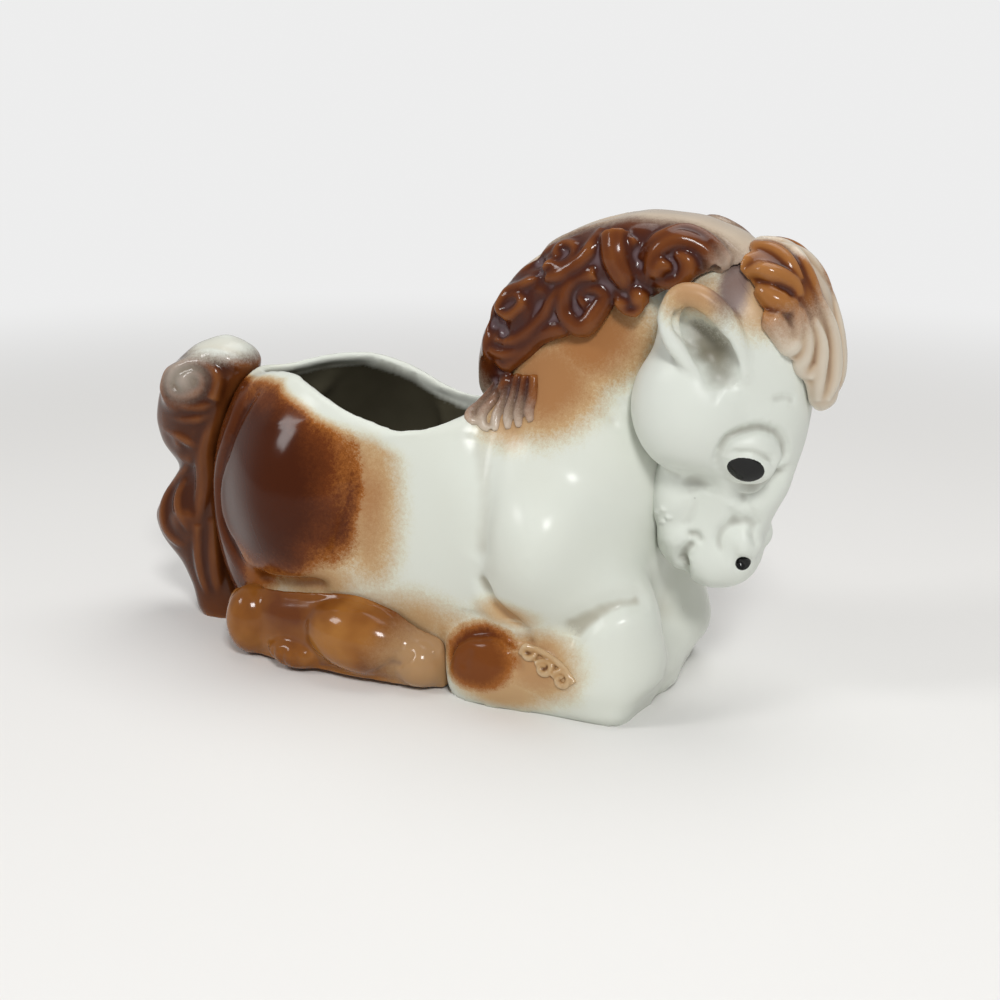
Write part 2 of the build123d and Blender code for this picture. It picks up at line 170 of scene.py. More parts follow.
def cut_out(piece, name, tool):
    """A new piece of what lies inside the tool."""
    part = duplicate(piece, name)
    modify(part, "BOOLEAN", operation="INTERSECT", solver="FAST", object=tool)
    print(part.name, len(part.data.polygons), "faces")
    return part


def cut_away(piece, tool):
    """Takes what lies inside the tool off the piece, and then the tool itself."""
    modify(piece, "BOOLEAN", operation="DIFFERENCE", solver="FAST", object=tool)
    bpy.data.objects.remove(tool)
    print(piece.name, len(piece.data.polygons), "faces")


# %% Rolls of clay
def on_side(points, side):
    """The points as they are where side is 1, and on the pony's other side where it is -1."""
    return [(x, side * y, z) for x, y, z in points]


def roll(points, radii):
    """A roll of clay along points in mm. Its radii are at the start, the middle and the end."""
    select_only()
    bpy.ops.curve.primitive_nurbs_path_add(radius=1)
    strand = bpy.context.object
    line = strand.data.splines[0]
    points = list(points)
    if len(points) > len(line.points):
        line.points.add(len(points) - len(line.points))
    while len(points) < len(line.points):
        points.insert(-1, tuple((a + b) / 2 for a, b in zip(points[-2], points[-1])))
    start, middle, end = radii
    for i, place in enumerate(points):
        share = i / (len(points) - 1)
        near = 1 - abs(2 * share - 1)
        outer = start if share < 0.5 else end
        line.points[i].co = (place[0] * MM, place[1] * MM, place[2] * MM, 1)
        line.points[i].radius = outer + (middle - outer) * math.sin(near * math.pi / 2)
    line.order_u = 3
    line.use_endpoint_u = True
    line.resolution_u = 6
    strand.data.bevel_depth = MM
    strand.data.bevel_resolution = 3
    strand.data.use_fill_caps = True
    strand.location = (0, 0, 0)
    bpy.ops.object.convert(target="MESH")
    return strand


def surface_of(piece):
    """A search tree over the piece's surface."""
    return BVHTree.FromObject(piece, bpy.context.evaluated_depsgraph_get())


# %% Reading and writing a mesh
def read_points(piece, kind="co"):
    """The places of the piece's points in metres, or with "normal" the ways that they face."""
    rows = np.empty(len(piece.data.vertices) * 3)
    piece.data.vertices.foreach_get(kind, rows)
    return rows.reshape(-1, 3)


def read_edges(piece):
    """The two points of every edge."""
    edges = np.empty(len(piece.data.edges) * 2, dtype=np.int64)
    piece.data.edges.foreach_get("vertices", edges)
    return edges.reshape(-1, 2)


def write_points(piece, places):
    piece.data.vertices.foreach_set("co", places.ravel())
    piece.data.update()


def mark(piece, name, values):
    """Writes one value per point, 0 to 1, for a glaze to read."""
    layer = piece.data.attributes.new(name, "FLOAT", "POINT")
    layer.data.foreach_set("value", np.clip(values, 0, 1).astype(np.float32))


def read_mark(piece, name):
    values = np.empty(len(piece.data.vertices))
    piece.data.attributes[name].data.foreach_get("value", values)
    return values


# %% [markdown]
# ## Sculpting tools
#
# A modeller rubs the clay, pushes it out from inside and draws in it with a wooden tool. Sculpt
# mode needs a window and a hand, so each tool is a small function here: it finds the points near
# a line or inside an egg, and moves them by an amount that fades smoothly to nothing.

# %% Rubbing smooth, with places held back
def soften_places(places, edges, times):
    """Moves each point half of the way to the middle of its neighbours, so many times."""
    count = np.bincount(edges.ravel(), minlength=len(places))[:, None]
    for _ in range(times):
        total = np.empty_like(places)
        for axis in range(3):
            total[:, axis] = np.bincount(
                edges[:, 0], places[edges[:, 1], axis], len(places)
            ) + np.bincount(edges[:, 1], places[edges[:, 0], axis], len(places))
        places = (places + total / np.maximum(count, 1)) / 2
    return places


def rub(piece, times, hold=None):
    """Rubs the piece smooth. hold says, point by point, how much of the rubbing is kept off."""
    edges = read_edges(piece)
    places = read_points(piece)
    soft = soften_places(places, edges, times)
    if hold is not None:
        firm = soften_places(places, edges, max(3, times // 10))
        soft = soft + (firm - soft) * hold(places / MM)[:, None]
    soft[places[:, 2] < 0.05 * MM, 2] = 0
    write_points(piece, soft)


# %% Swelling and dragging
def swell(piece, centre, radii, height):
    """Swells the outer skin over an egg-shaped patch, centre and radii in mm, on both sides."""
    places = read_points(piece)
    normals = read_points(piece, "normal")
    folded = np.abs(places / MM * (0, 1, 0)) + places / MM * (1, 0, 1)
    away = np.linalg.norm((folded - centre) / radii, axis=1)
    outward = np.clip(normals[:, 1] * np.sign(places[:, 1]) * 2 + 0.4, 0, 1)
    lift = np.clip(1 - away ** 2, 0, 1) ** 1.5 * outward * height * MM
    write_points(piece, places + normals * lift[:, None])


def grab(piece, centre, radii, move):
    """Drags the skin in an egg-shaped patch by a move, on both sides. All in mm."""
    places = read_points(piece) / MM
    for side in (1, -1) if centre[1] else (1,):
        away = np.linalg.norm((places - np.array(centre) * (1, side, 1)) / radii, axis=1)
        share = np.clip(1 - away ** 2, 0, 1) ** 2
        places = places + share[:, None] * np.array(move) * (1, side, 1)
    write_points(piece, places * MM)


# %% A smooth line through points
def along(points, step=0.4):
    """Points every so many mm along a smooth line through the given ones."""
    points = np.array(points, float)
    before = np.vstack([2 * points[0] - points[1], points[:-1]])
    after = np.vstack([points[1:], 2 * points[-1] - points[-2]])
    rows = []
    for i in range(len(points) - 1):
        a, b = points[i], points[i + 1]
        count = max(2, int(np.linalg.norm(b - a) / step) + 1)
        u = np.linspace(0, 1, count)[:, None]
        lean_a, lean_b = (b - before[i]) / 2, (after[i + 1] - a) / 2
        rows.append(
            a * (2 * u ** 3 - 3 * u ** 2 + 1) + lean_a * (u ** 3 - 2 * u ** 2 + u)
            + b * (3 * u ** 2 - 2 * u ** 3) + lean_b * (u ** 3 - u ** 2)
        )
    return np.vstack(rows)


# %% Drawing creases and ridges
FAR_AWAY = 1


def press_of(away, width):
    """How hard the tool presses each point, and the spot of the line that is nearest to it."""
    gaps = np.linalg.norm(away, axis=2)
    best = gaps.argmin(1)
    gap = gaps[np.arange(len(best)), best]
    return np.exp(-(gap / (width * MM)) ** 2), best


def draw(piece, points, width, depth, tapered=True, wall=0):
    """Presses a line into both sides, or raises a ridge where depth is below zero. All in mm.

    The inner face of a wall up to that thick moves along, so that the wall keeps its thickness.
    """
    places = read_points(piece)
    normals = read_points(piece, "normal")
    outward = normals[:, 1] * np.sign(places[:, 1]) > -0.3
    if wall:
        outward = read_mark(piece, "well") < 0.5
    amount = np.zeros(len(places))
    lean = normals.copy()
    for side in (1, -1):
        line = along(on_side(points, side)) * MM
        reach = (3 * width + wall) * MM
        close = ((places > line.min(0) - reach) & (places < line.max(0) + reach)).all(1)
        skin = np.where(close & outward)[0]
        if not len(skin):
            continue
        spots = skin[np.linalg.norm(places[skin, None] - line[None], axis=2).argmin(0)]
        line, face = places[spots], normals[spots]
        share = np.linspace(0, 1, len(line))
        fade = np.ones(len(line))
        if tapered:
            fade = np.minimum(1, 6 * np.minimum(share, 1 - share) + 0.15)
        press, best = press_of(places[skin, None] - line[None], width)
        amount[skin] = np.maximum(amount[skin], press * fade[best])
        if wall:
            inner = np.where(close & ~outward)[0]
            away = places[inner, None] - line[None]
            deep = (away * face[None]).sum(2)
            away = away - deep[..., None] * face[None]
            away[np.abs(deep) > wall * MM] = FAR_AWAY
            press, best = press_of(away, width)
            lean[inner] = face[best]
            amount[inner] = np.maximum(amount[inner], press * fade[best])
    write_points(piece, places - lean * (amount * depth * MM)[:, None])


# %% [markdown]
# ## How hollow each spot is
#
# Glaze runs off ridges and pools in hollows, which is what makes the locks of hair read: amber on
# the ridge and a milky purple in the groove. The glazes also read the hollows to paint shade into
# creases and grooves, and a highlight onto ridges. Pointiness could tell a renderer that, but an
# export loses it. So each piece gets an attribute that says how far a spot lies below its softened
# surroundings, and the glaze reads it.

# %% Measuring the hollows
def mark_hollows(piece, reach, times=40):
    """Writes hollow: 0 on ridges, 0.5 on plain skin and 1 in grooves of about reach mm."""
    edges = read_edges(piece)
    places = read_points(piece)
    normals = read_points(piece, "normal")
    gap = ((soften_places(places, edges, times) - places) * normals).sum(1)
    gap = soften_places(gap[:, None].repeat(3, 1), edges, 2)[:, 0]
    mark(piece, "hollow", 0.5 + gap / (reach * MM))
    print(piece.name, "hollows marked")


# %% [markdown]
# ## The casting: trunk, neck, chest and forelegs
#
# The trunk and the forelegs come out of one mould, and the knee flows into the chest with no edge
# between them. They could be shaped apart and then blended, but a seam would show. So they are
# fused as one, smoothed and creased, and only then parted again along planes, which leaves no
# line to see.

# %% The trunk and the forelegs as one
# Knee and hoof of the left foreleg: centre and radii in mm
FORELEG_LUMPS = (((60, 22, 14), (13, 11, 12)), ((30.5, 27, 10.6), (11.6, 8.4, 10.8)))

casting = rough_copy("body_casting", "body_vessel", "foreleg_right", "foreleg_left")
for side in (1, -1):
    join(casting, eggs(FORELEG_LUMPS, side))
print(casting.name, "has its knees and hooves")

# %% [markdown]
# ## The lip of the well
#
# The rim is a thin wall whose edge the glaze has rounded into a small bead. A bevel would need
# one clean edge loop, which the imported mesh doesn't have. So rays from above find the highest
# line of the wall, and a thin roll of clay is laid along it before everything is fused.

# %% Find the lip and lay a bead on it
WELL_MIDDLE = Vector((-12, 0, 140))
# Rays start at these degrees round from the nose, which leave out the neck, and mm from the middle
LIP_ANGLES = range(36, 325, 9)
LIP_REACHES = np.arange(12, 62, 0.5)
HITS_ON_WALL = 8
RIM_BOTTOM = 60
BEAD_SINK = 0.9
BEAD_RADII = (1.3, 1.8, 1.3)


def find_lip(piece):
    """The top line of the wall round the well, from one side of the neck to the other."""
    surface = surface_of(piece)
    lip = []
    for angle in LIP_ANGLES:
        way = Vector((math.cos(math.radians(angle)), math.sin(math.radians(angle)), 0))
        tops = []
        for reach in LIP_REACHES:
            start = WELL_MIDDLE + way * float(reach)
            spot = surface.ray_cast(start * MM, Vector((0, 0, -1)))[0]
            if spot is not None and spot.z > RIM_BOTTOM * MM:
                tops.append(tuple(spot / MM))
            if len(tops) == HITS_ON_WALL:
                break
        heights = [top[2] for top in tops]
        x, y, z = tops[heights.index(max(heights))]
        lip.append((x, y, z - BEAD_SINK))
    return lip


lip = find_lip(casting)
print("lip of the well", len(lip), "points")
join(casting, [roll(lip, BEAD_RADII)])
fuse(casting, 0.94)


# %% Rub the casting and fill out its forms
def near_rim(places):
    """How much of the rubbing is kept off: most of it at the rim, the hooves and the foot."""
    x, y, z = places.T
    at_well = (np.abs(y) < 30) & (x > -60) & (x < 30)
    rim = 0.8 * np.where(at_well, np.clip((z - 66) / 6, 0, 1), 0) * np.clip((34 - x) / 10, 0, 1)
    hoof = 0.85 * ((x > 16) & (x < 45) & (z < 25) & (np.abs(y) > 22))
    foot = 0.8 * np.clip((5 - z) / 3, 0, 1)
    return np.maximum(np.maximum(rim, hoof), foot)


# Centre and radii of a patch, and how far it swells, in mm: the haunch and the chest
FULL_FORMS = (((-30, 34, 50), (24, 40, 31), 2.6), ((52, 34, 46), (22, 30, 20), 1.4))
# Centre and radii of a patch, and its move: below the knee, and the knee itself
KNEE_MOVES = (((80, 24, -1), (14, 28, 13), (-5.5, 0, 0)), ((78, 22, 15), (10, 18, 9), (1.4, 0, 0)))

rub(casting, 130, near_rim)
for row in FULL_FORMS:
    swell(casting, *row)
for row in KNEE_MOVES:
    grab(casting, *row)
print("casting rubbed, with", len(FULL_FORMS), "swells and", len(KNEE_MOVES), "moves")

# %% Mark the inside of the well and its lip
FROM_LIP_AT_MOST = 9.0
LIP_WIDTH = 6.5


def in_well(places, normals):
    """True where a point of the trunk, in metres, lies on the inner face of the well."""
    x, side, z = places[:, 0] / MM, np.abs(places[:, 1]) / MM, places[:, 2] / MM
    # in mm: the room between the walls, less the neck and the forelegs, which are solid
    room = (side < 31) & (np.abs(x + 4) < 56) & (z > 4)
    outside = ((x > 20) & (z > 75)) | ((x > 8) & (z < 26) & (side > 18))
    facing = (normals * (places / MM - (-12, 0, 45)) * (1, 1, 0.4)).sum(1)
    return room & ~outside & (facing < 2)


def mark_well(piece, lip):
    """Marks the inner face, which fades in below the lip, and the band of skin at the lip."""
    places = read_points(piece) / MM
    from_lip = np.full(len(places), FROM_LIP_AT_MOST)
    high = np.where(places[:, 2] > RIM_BOTTOM)[0]
    from_lip[high] = np.linalg.norm(places[high, None] - along(lip, 1.5)[None], axis=2).min(1)
    inner = in_well(places * MM, read_points(piece, "normal"))
    mark(piece, "well", inner * np.clip((from_lip - 2.6) / 1.6, 0, 1))
    mark(piece, "lip", np.clip((LIP_WIDTH - from_lip) / 4, 0, 1))
    print(piece.name, int(inner.sum()), "points inside the well")


mark_well(casting, lip)

# %% [markdown]
# ## Creases, and the forelegs parted
#
# Haunch, shoulder, chest and hooves are set off by soft creases, as if pressed into wet clay with
# a wooden tool. Bevelled edges would follow the mesh and not the form. So each crease is a line
# of points drawn into the skin with its own width and depth, and in the thin wall of the well the
# inner face moves along with it. The forelegs are then cut free with two tilted blocks.

# %% Creases of the trunk
WALL = 7
VALLEY_SHIFT = 6

HAUNCH_FRONT = (
    (-8.4, -27.9, 70), (-6.5, -30.7, 59.8), (-7.2, -32.1, 49.1), (-11, -32.7, 37.5),
    (-14.7, -31.2, 29.4),
)
# Width, depth and points of each crease on the right side, in mm
TRUNK_CREASES = (
    (2.6, 2, HAUNCH_FRONT),
    # the valley before the haunch
    (5, 1.6, [(x + VALLEY_SHIFT, y, z) for x, y, z in HAUNCH_FRONT]),
    # the back of the haunch
    (2.2, 2.2, (
        (-41.5, -20.3, 77.8), (-49.2, -20.5, 70.1), (-53.9, -22, 59.8), (-58.9, -20.2, 48.5),
        (-59, -20.5, 38), (-53.1, -24.1, 30.7), (-45.2, -25.2, 23.1),
    )),
    # under the haunch
    (2.6, 3.2, (
        (-45.2, -25.2, 23.1), (-35.4, -29.9, 21.5), (-23.8, -32.5, 22.7), (-15.7, -29.9, 25.1),
    )),
    # the fall behind the shoulder
    (4.5, 1.5, ((27, -22, 76), (29, -30, 66), (31, -32, 54), (31.5, -33, 44), (31.5, -33, 38))),
    # from the shoulder to the foreleg
    (1.8, 2.4, (
        (30.9, -32.8, 37.5), (32, -32.8, 33), (33.4, -32.3, 29.5), (36.6, -31.9, 26.2),
        (40.5, -31.2, 23.8), (43.5, -30.6, 22),
    )),
    # under the chest, above the knee
    (3, 2.4, (
        (52, -30.2, 22.8), (57.4, -30.6, 24.9), (61.2, -28.7, 28.1), (65.6, -27.6, 31.4),
        (70.2, -24.1, 32.3), (73.6, -18.6, 32.6),
    )),
)
HOOF_CREASES = (
    # behind the fore hoof
    (1.2, 1, ((29.2, -34, 16.9), (27.9, -35, 13.2), (26.7, -34.9, 10.1))),
    # between the hoof and the fetlock
    (1.6, 1.6, ((38.6, -29.4, 20), (42.1, -33, 19.1), (42.4, -33.6, 15.2), (42.6, -34.9, 11.5))),
    # over the hoof
    (1.8, 1.8, (
        (20.8, -31, 7), (21.4, -31, 13), (24.4, -31.8, 18.2), (30.4, -31.8, 20.6),
        (36.2, -31.1, 20.8), (40.6, -30.8, 18.6),
    )),
)
NECK_FOLDS = (
    ((61.6, -14.8, 87.6), (63.3, -13.5, 84.9)), ((59.6, -16.3, 83.6), (62.2, -14.6, 81)),
    ((58.2, -18, 79.2), (61.4, -16.4, 77.1)),
)

for width, depth, points in TRUNK_CREASES:
    draw(casting, points, width, depth, wall=WALL)
for width, depth, points in HOOF_CREASES:
    draw(casting, points, width, depth)
for points in NECK_FOLDS:
    draw(casting, points, 1.4, 1, tapered=False)
rub(casting, 3)
mark_hollows(casting, 1.4)

# %% Part the forelegs from the trunk
SIDES = ((-1, "right"), (1, "left"))
LEG_BLOCK_SIZE = (75, 50, 40)
LEG_BLOCK_TILT = 6

forelegs = {}
blocks = []
for side, word in SIDES:
    blocks.append(block((57.53, side * 34.13, 2.07), LEG_BLOCK_SIZE, LEG_BLOCK_TILT))
    forelegs[word] = cut_out(casting, f"foreleg_{word}_casting", blocks[-1])
cut_away(casting, join(blocks[0], blocks[1:]))

# %% [markdown]
# ## Feather curls at the fetlocks
#
# Above each fore hoof lies a tuft of hair, modelled as three small scrolls under a twisted edge.
# It could be a bump in the material, but it catches the light on its own. So it is made of thin
# rolls that follow the skin of the leg, fused into a piece of its own.


# %% Laying lines on the skin
def lay(points, surface, proud):
    """Moves points onto a surface and then out along it by so many mm."""
    laid = []
    for place in points:
        spot, normal, _, _ = surface.find_nearest(Vector(place) * MM)
        laid.append(tuple((spot + normal * proud * MM) / MM))
    return laid


def curl(centre, size, start, turns=1.3, steps=10):
    """Points of a curl that winds inwards in an upright plane. Its first angle is in degrees."""
    points = []
    for i in range(steps):
        share = i / (steps - 1)
        angle = math.radians(start - 360 * turns * share)
        reach = size * (1 - 0.7 * share)
        points.append((
            centre[0] + reach * math.cos(angle), centre[1], centre[2] + reach * math.sin(angle)
        ))
    return points


# %% Fetlock curls
# Centre, size and first angle of each curl on the right side, in mm and degrees
FEATHER_CURLS = (
    ((45.2, -33.2, 17.6), 2.7, 200),
    ((50.2, -34.3, 14.6), 2.8, 160),
    ((55.4, -35, 12.4), 2.9, 170),
)
FEATHER_EDGE = (
    (43, -33, 20.4), (47.5, -33, 19.6), (52, -34, 17.6), (56, -34.5, 15.4), (59, -35.3, 12.2),
)
FEATHER_RADII = (0.9, 1, 0.7)
# How far the middle of a roll that is laid on the skin stands over it, in mm
LAID_PROUD = 0.1

fetlocks = {}
for side, word in SIDES:
    surface = surface_of(forelegs[word])
    rolls = []
    for points in [curl(*row) for row in FEATHER_CURLS] + [FEATHER_EDGE]:
        rolls.append(roll(lay(on_side(points, -side), surface, LAID_PROUD), FEATHER_RADII))
    curls = join(rolls[0], rolls[1:])
    curls.name = f"fetlock_{word}_curls"
    fuse(curls, 0.3)
    modify(curls, "SMOOTH", factor=0.5, iterations=3)
    mark_hollows(curls, 0.7, 30)
    fetlocks[word] = curls

# %% [markdown]
# ## Hind legs
#
# The hind legs are folded flat beside the trunk: a hock, a long calf, a pad of feather hair and a
# hoof. One stretched egg would look like a sausage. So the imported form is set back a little, and
# an egg of clay for each of those four is fused onto it.

# %% Hind legs
HIND_HOOF_CREASE = (
    (10, -34.4, 14.9), (11, -35.5, 11.9), (8, -36.4, 8.9), (3.3, -36.5, 4.4), (-0.3, -35.7, 2.1),
)
PAD_NOTCHES = (
    ((-31, -35, 7), (-31.6, -35, 2)), ((-27.4, -36, 7.4), (-27.8, -36, 2)),
    ((-23.6, -36, 7), (-23.4, -36, 2)),
)
# Hock, calf, feather pad and hoof of the right leg: centre, radii and perhaps turn
LEG_LUMPS = (
    ((-44, -26.4, 10.6), (7.6, 8, 10.4)),
    ((-7, -29, 12.4), (17, 10.2, 10.4), (0, 8, 0)),
    ((-26.5, -28.8, 5.2), (9.5, 8.4, 5.2), (0, 4, 0)),
    ((11.2, -26.8, 7.4), (8, 8.6, 7.4)),
)
LEG_SET_BACK = ((-15, 34, 8), (50, 30, 30), -3.6)

hind_legs = {}
for side, word in SIDES:
    leg = rough_copy(f"hind_leg_{word}_casting", f"hind_leg_{word}")
    fuse(leg, 0.6)
    rub(leg, 50)
    swell(leg, *LEG_SET_BACK)
    join(leg, eggs(LEG_LUMPS, -side))
    fuse(leg, 0.5)
    rub(leg, 12)
    draw(leg, HIND_HOOF_CREASE, 1.2, 0.8)
    for notch in PAD_NOTCHES:
        draw(leg, notch, 0.8, 0.6)
    rub(leg, 3)
    mark_hollows(leg, 1.6, 60)
    hind_legs[word] = leg

# %% [markdown]
# ## The head
#
# The head has round jowls, bulging eyes under heavy lids, a small smiling muzzle and cupped ears.
# Each could be a mesh of its own, but on the real one they melt into each other. So eggs are
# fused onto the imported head, the skin is dragged and rubbed, and the face is then drawn into it.

# %% The clay of the face and the ears
EAR_ROLL = (
    (85.5, -20.5, 90.5), (81, -22, 95.6), (77.8, -22.8, 100.4), (76.8, -22.8, 105.4),
    (78.6, -22.4, 110), (82.4, -21.8, 111), (86.6, -21.4, 109.2), (90.2, -20.6, 105.6),
    (92.6, -19.8, 101), (94, -18.4, 96), (94.4, -16.2, 90),
)
EAR_ROLL_RADII = (1.9, 3.3, 2.4)
# Centre and radii of a patch, and its move in mm: the muzzle's front, its sides and the chin
MUZZLE_MOVES = (
    ((100, 0, 46), (16, 20, 15), (-3.2, 0, 0)), ((93, 11, 45), (15, 10, 14), (0, -2.4, 0)),
    ((71, 0, 37), (10, 18, 10), (0, 0, 3)),
)
# Centre on the left side, radii and perhaps turn of each egg
HEAD_LUMPS = (
    ((95.7, 6.6, 69.8), (8.4, 11.6, 8.4)),  # eye
    ((85.2, 3.8, 39.4), (7, 6.6, 7.2)),  # lower lip
    ((76.6, 4.6, 46.2), (6.8, 6.6, 5.8)),  # corner of the mouth
    ((75.6, 5.4, 58.5), (7.6, 6.6, 13), (0, 8, 0)),  # jaw
    ((85.4, 15.4, 101), (7.6, 4.6, 12.6), (0, -43, 0)),  # ear
)
NOSTRIL_LUMPS = (((93.6, 4.8, 46.2), (4.5, 5.6, 5.2)),)
CROWN_SWELL = ((80, 20, 82), (17, 30, 17), 1.2)


def near_ears(places):
    """How much of the rubbing is kept off: most of it at the thin ears."""
    return 0.75 * ((np.abs(places[:, 1]) > 15) & (places[:, 2] > 88))


# %% Head and ears as one mass
head = rough_copy("head_casting", "head")
fuse(head, 0.6)
rub(head, 70)
swell(head, *CROWN_SWELL)
for row in MUZZLE_MOVES:
    grab(head, *row)
lumps = []
for side in (1, -1):
    lumps += eggs(HEAD_LUMPS, side) + [roll(on_side(EAR_ROLL, -side), EAR_ROLL_RADII)]
join(head, lumps)
fuse(head, 0.45)
rub(head, 30, near_ears)
join(head, eggs(NOSTRIL_LUMPS, 1) + eggs(NOSTRIL_LUMPS, -1))
fuse(head, 0.45)
rub(head, 8, near_ears)

# %% [markdown]
# ## The face and the ears' cups
#
# The lids, the smile, the nostril rings and the cups of the ears are drawn lines too, finer than
# those of the trunk. A displacement texture could hold them, but its detail would be lost in an
# export. The ears are then cut off the head with a tilted block each, so that each stands for its
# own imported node.

# %% Creases of the face
EYE_DOME = (
    (89.1, -16.9, 67.8), (90.2, -19.5, 72.1), (92.2, -19.9, 75.9), (95.3, -17.2, 77.9),
    (98.8, -15.4, 78.4), (102, -12.6, 77), (103.9, -9.7, 73.8), (104, -8.3, 70),
    (102.7, -9.7, 68.1), (100.1, -10.3, 63.4), (96.6, -11.8, 61.4), (93.7, -12.7, 61.7),
    (90.8, -13.3, 63.8),
)
LID_SWELL = ((97.5, 14, 74.2), (6.5, 12, 3.8), 1.2)
EAR_HOLLOW = (
    (77.8, -22, 108), (79.6, -22, 106.2), (82.4, -21.5, 103.6), (85.6, -21, 100.4),
    (88.4, -21.5, 96.6), (90.4, -21.5, 92.4), (91.6, -21, 88.6),
)
NOSTRIL_RING = [
    (93.8 + 6 * math.cos(math.radians(a)), -9, 46.4 + 6 * math.sin(math.radians(a)))
    for a in range(-20, 221, 24)
]
# Width, depth and points of each crease on the right side, in mm
FACE_CREASES = (
    # the upper lid
    (0.8, 1.3, (
        (92, -18.6, 72), (95.1, -18.9, 72.7), (97.8, -17.9, 72.7), (100.2, -15.8, 71.6),
        (101.8, -12, 69.1),
    )),
    # under the eye
    (3.2, 2.9, (
        (91.5, -11.1, 56.3), (95.4, -10.9, 59.3), (99.5, -9.3, 60.5), (102.7, -7.1, 64.4),
        (104.3, -6, 67.9),
    )),
    # the brow
    (1.2, 0.8, ((100.7, -13.8, 85.3), (103.8, -11.5, 85.4), (105.8, -8.6, 84.2))),
    # the cheek's hollow
    (4.2, 1.4, ((76.5, -14.3, 64), (81.4, -16.7, 64.6), (82.8, -11.6, 61.7), (82.8, -10.6, 58.8))),
    # the dimple and the line of the mouth
    (0.8, 1.3, ((79, -9, 47.1), (81.6, -10.4, 47.9), (83.9, -11.6, 45.8))),
    (1.1, 1.6, ((81.9, -10.8, 46.5), (79.6, -9.7, 43.7), (78.1, -9.6, 41.3), (77, -8.5, 37.9))),
    # below the lip
    (1.7, 1.9, ((79.8, -8.6, 41.5), (78.4, -8, 38), (77.8, -6, 35.5), (77.6, 0, 34.5))),
    # over the nose
    (2.4, 1, ((90, -11, 52.4), (94.4, -10.5, 53.4), (98.4, -8, 53.4))),
    # round the nostril
    (1.3, 1.1, NOSTRIL_RING),
    # the ear's cup, and its deeper lower half
    (2.9, 2.8, EAR_HOLLOW),
    (3.4, 1, EAR_HOLLOW[3:]),
)

draw(head, EYE_DOME, 1.3, 1.9)
swell(head, *LID_SWELL)
for width, depth, points in FACE_CREASES:
    draw(head, points, width, depth)
rub(head, 4)
print("face drawn with", len(FACE_CREASES) + 1, "creases")

# %% Nostrils and crumbs of slip
NOSTRIL = ((94.2, -8.6, 41), (94.25, -8.6, 41.05))
SLIP_CRUMBS = ((72.6, -11.2, 53.4), (70.8, -10.4, 52.2), (71.8, -11, 49.4), (74.2, -11.4, 51.2))

draw(head, NOSTRIL, 1.5, 1.8, tapered=False)
for x, y, z in SLIP_CRUMBS:
    draw(head, ((x, y, z), (x + 0.8, y, z + 0.4)), 0.6, -0.6, tapered=False)
mark_hollows(head, 1.6, 60)

# %% Part the ears from the head
EAR_BLOCK_SIZE = (24, 32, 30)
EAR_BLOCK_TILT = -43

ears = {}
for side, word in SIDES:
    tool = block((85.4, side * 28.5, 102.5), EAR_BLOCK_SIZE, EAR_BLOCK_TILT)
    ears[word] = cut_out(head, f"ear_{word}_casting", tool)
    cut_away(head, tool)

# %% [markdown]
# ## The mane
#
# The mane is a cap of hair over the crest: scrolled curls on the sides, long strands on top, and
# straight strands that run down onto the neck. Hair could be grown as curves, but this hair is
# clay. So each lock is a roll laid on the rubbed cap, and all are fused to it at once.


# %% Laying locks
def lay_locks(piece, locks, fuller, sink):
    """Lays a table of locks on the piece and on its other side, sunk by a share of a radius."""
    surface = surface_of(piece)
    rolls = []
    for radii, points in locks:
        radii = [radius * fuller for radius in radii]
        for side in (1, -1):
            line = lay(on_side(points, side), surface, -sink * radii[1])
            rolls.append(roll(line, radii))
    print(piece.name, len(rolls), "locks")
    join(piece, rolls)


# %% The mane's upper locks
# Radii and points of each lock on the right side, in mm
UPPER_LOCKS = (
    # upper left lock under the crest
    ((1, 1.9, 0.9), (
        (55.8, -12.8, 124.4), (55.2, -17.2, 120.7), (53.2, -18.6, 117.3), (49.8, -17.3, 114.5),
        (46.9, -19.4, 113), (42.8, -17.3, 112.2), (41.2, -18, 113.3),
    )),
    # upper left curl
    ((1.3, 1.2, 0.7), (
        (41.2, -18.1, 113.9), (43.1, -16.6, 115.4), (46.5, -18.5, 115), (48.9, -17.3, 115.8),
        (50.8, -17, 118.1), (49.6, -15.6, 120.4), (46.1, -13.7, 120.5), (44.3, -14.6, 119.2),
        (44.8, -16.7, 117.8), (46.5, -16.5, 117.2),
    )),
    # round curl
    ((1.6, 2, 0.9), (
        (56.7, -19.2, 113.8), (52.5, -17.3, 112.9), (49.6, -18, 110.9), (48.2, -18.4, 107.4),
        (48.6, -18.2, 103.4), (51.8, -19.6, 100.5), (55.2, -18.8, 99.7), (57.5, -16, 101.1),
        (59, -15.1, 104.1), (58.5, -16.3, 108.2), (56.2, -17.1, 110.2), (53, -17.3, 109.8),
        (51.9, -16.9, 107.4), (54.8, -19.4, 106.4),
    )),
    # broad lock right of the flame
    ((2.9, 2.6, 1.6), (
        (60.2, -15.3, 123.6), (61.6, -18.7, 119.9), (62.8, -18.9, 116.1), (64.5, -18.3, 112.5),
        (64.6, -15.7, 109.8),
    )),
    # broad lock hook
    ((1.7, 1.8, 1), (
        (65.4, -15.9, 110.6), (67.7, -18.8, 109.1), (64.8, -13.8, 106.3), (64, -18.9, 106.5),
        (61.3, -19.1, 107.4),
    )),
    # ball tip stem
    ((1.3, 0.9, 0.9), (
        (65.5, -15.9, 122.6), (64.5, -16.8, 121.1), (64.5, -16.8, 118.2), (66.4, -16.7, 115.6),
        (68.2, -17.6, 112.9), (67.7, -15.4, 109.7), (68.2, -19.1, 108),
    )),
)

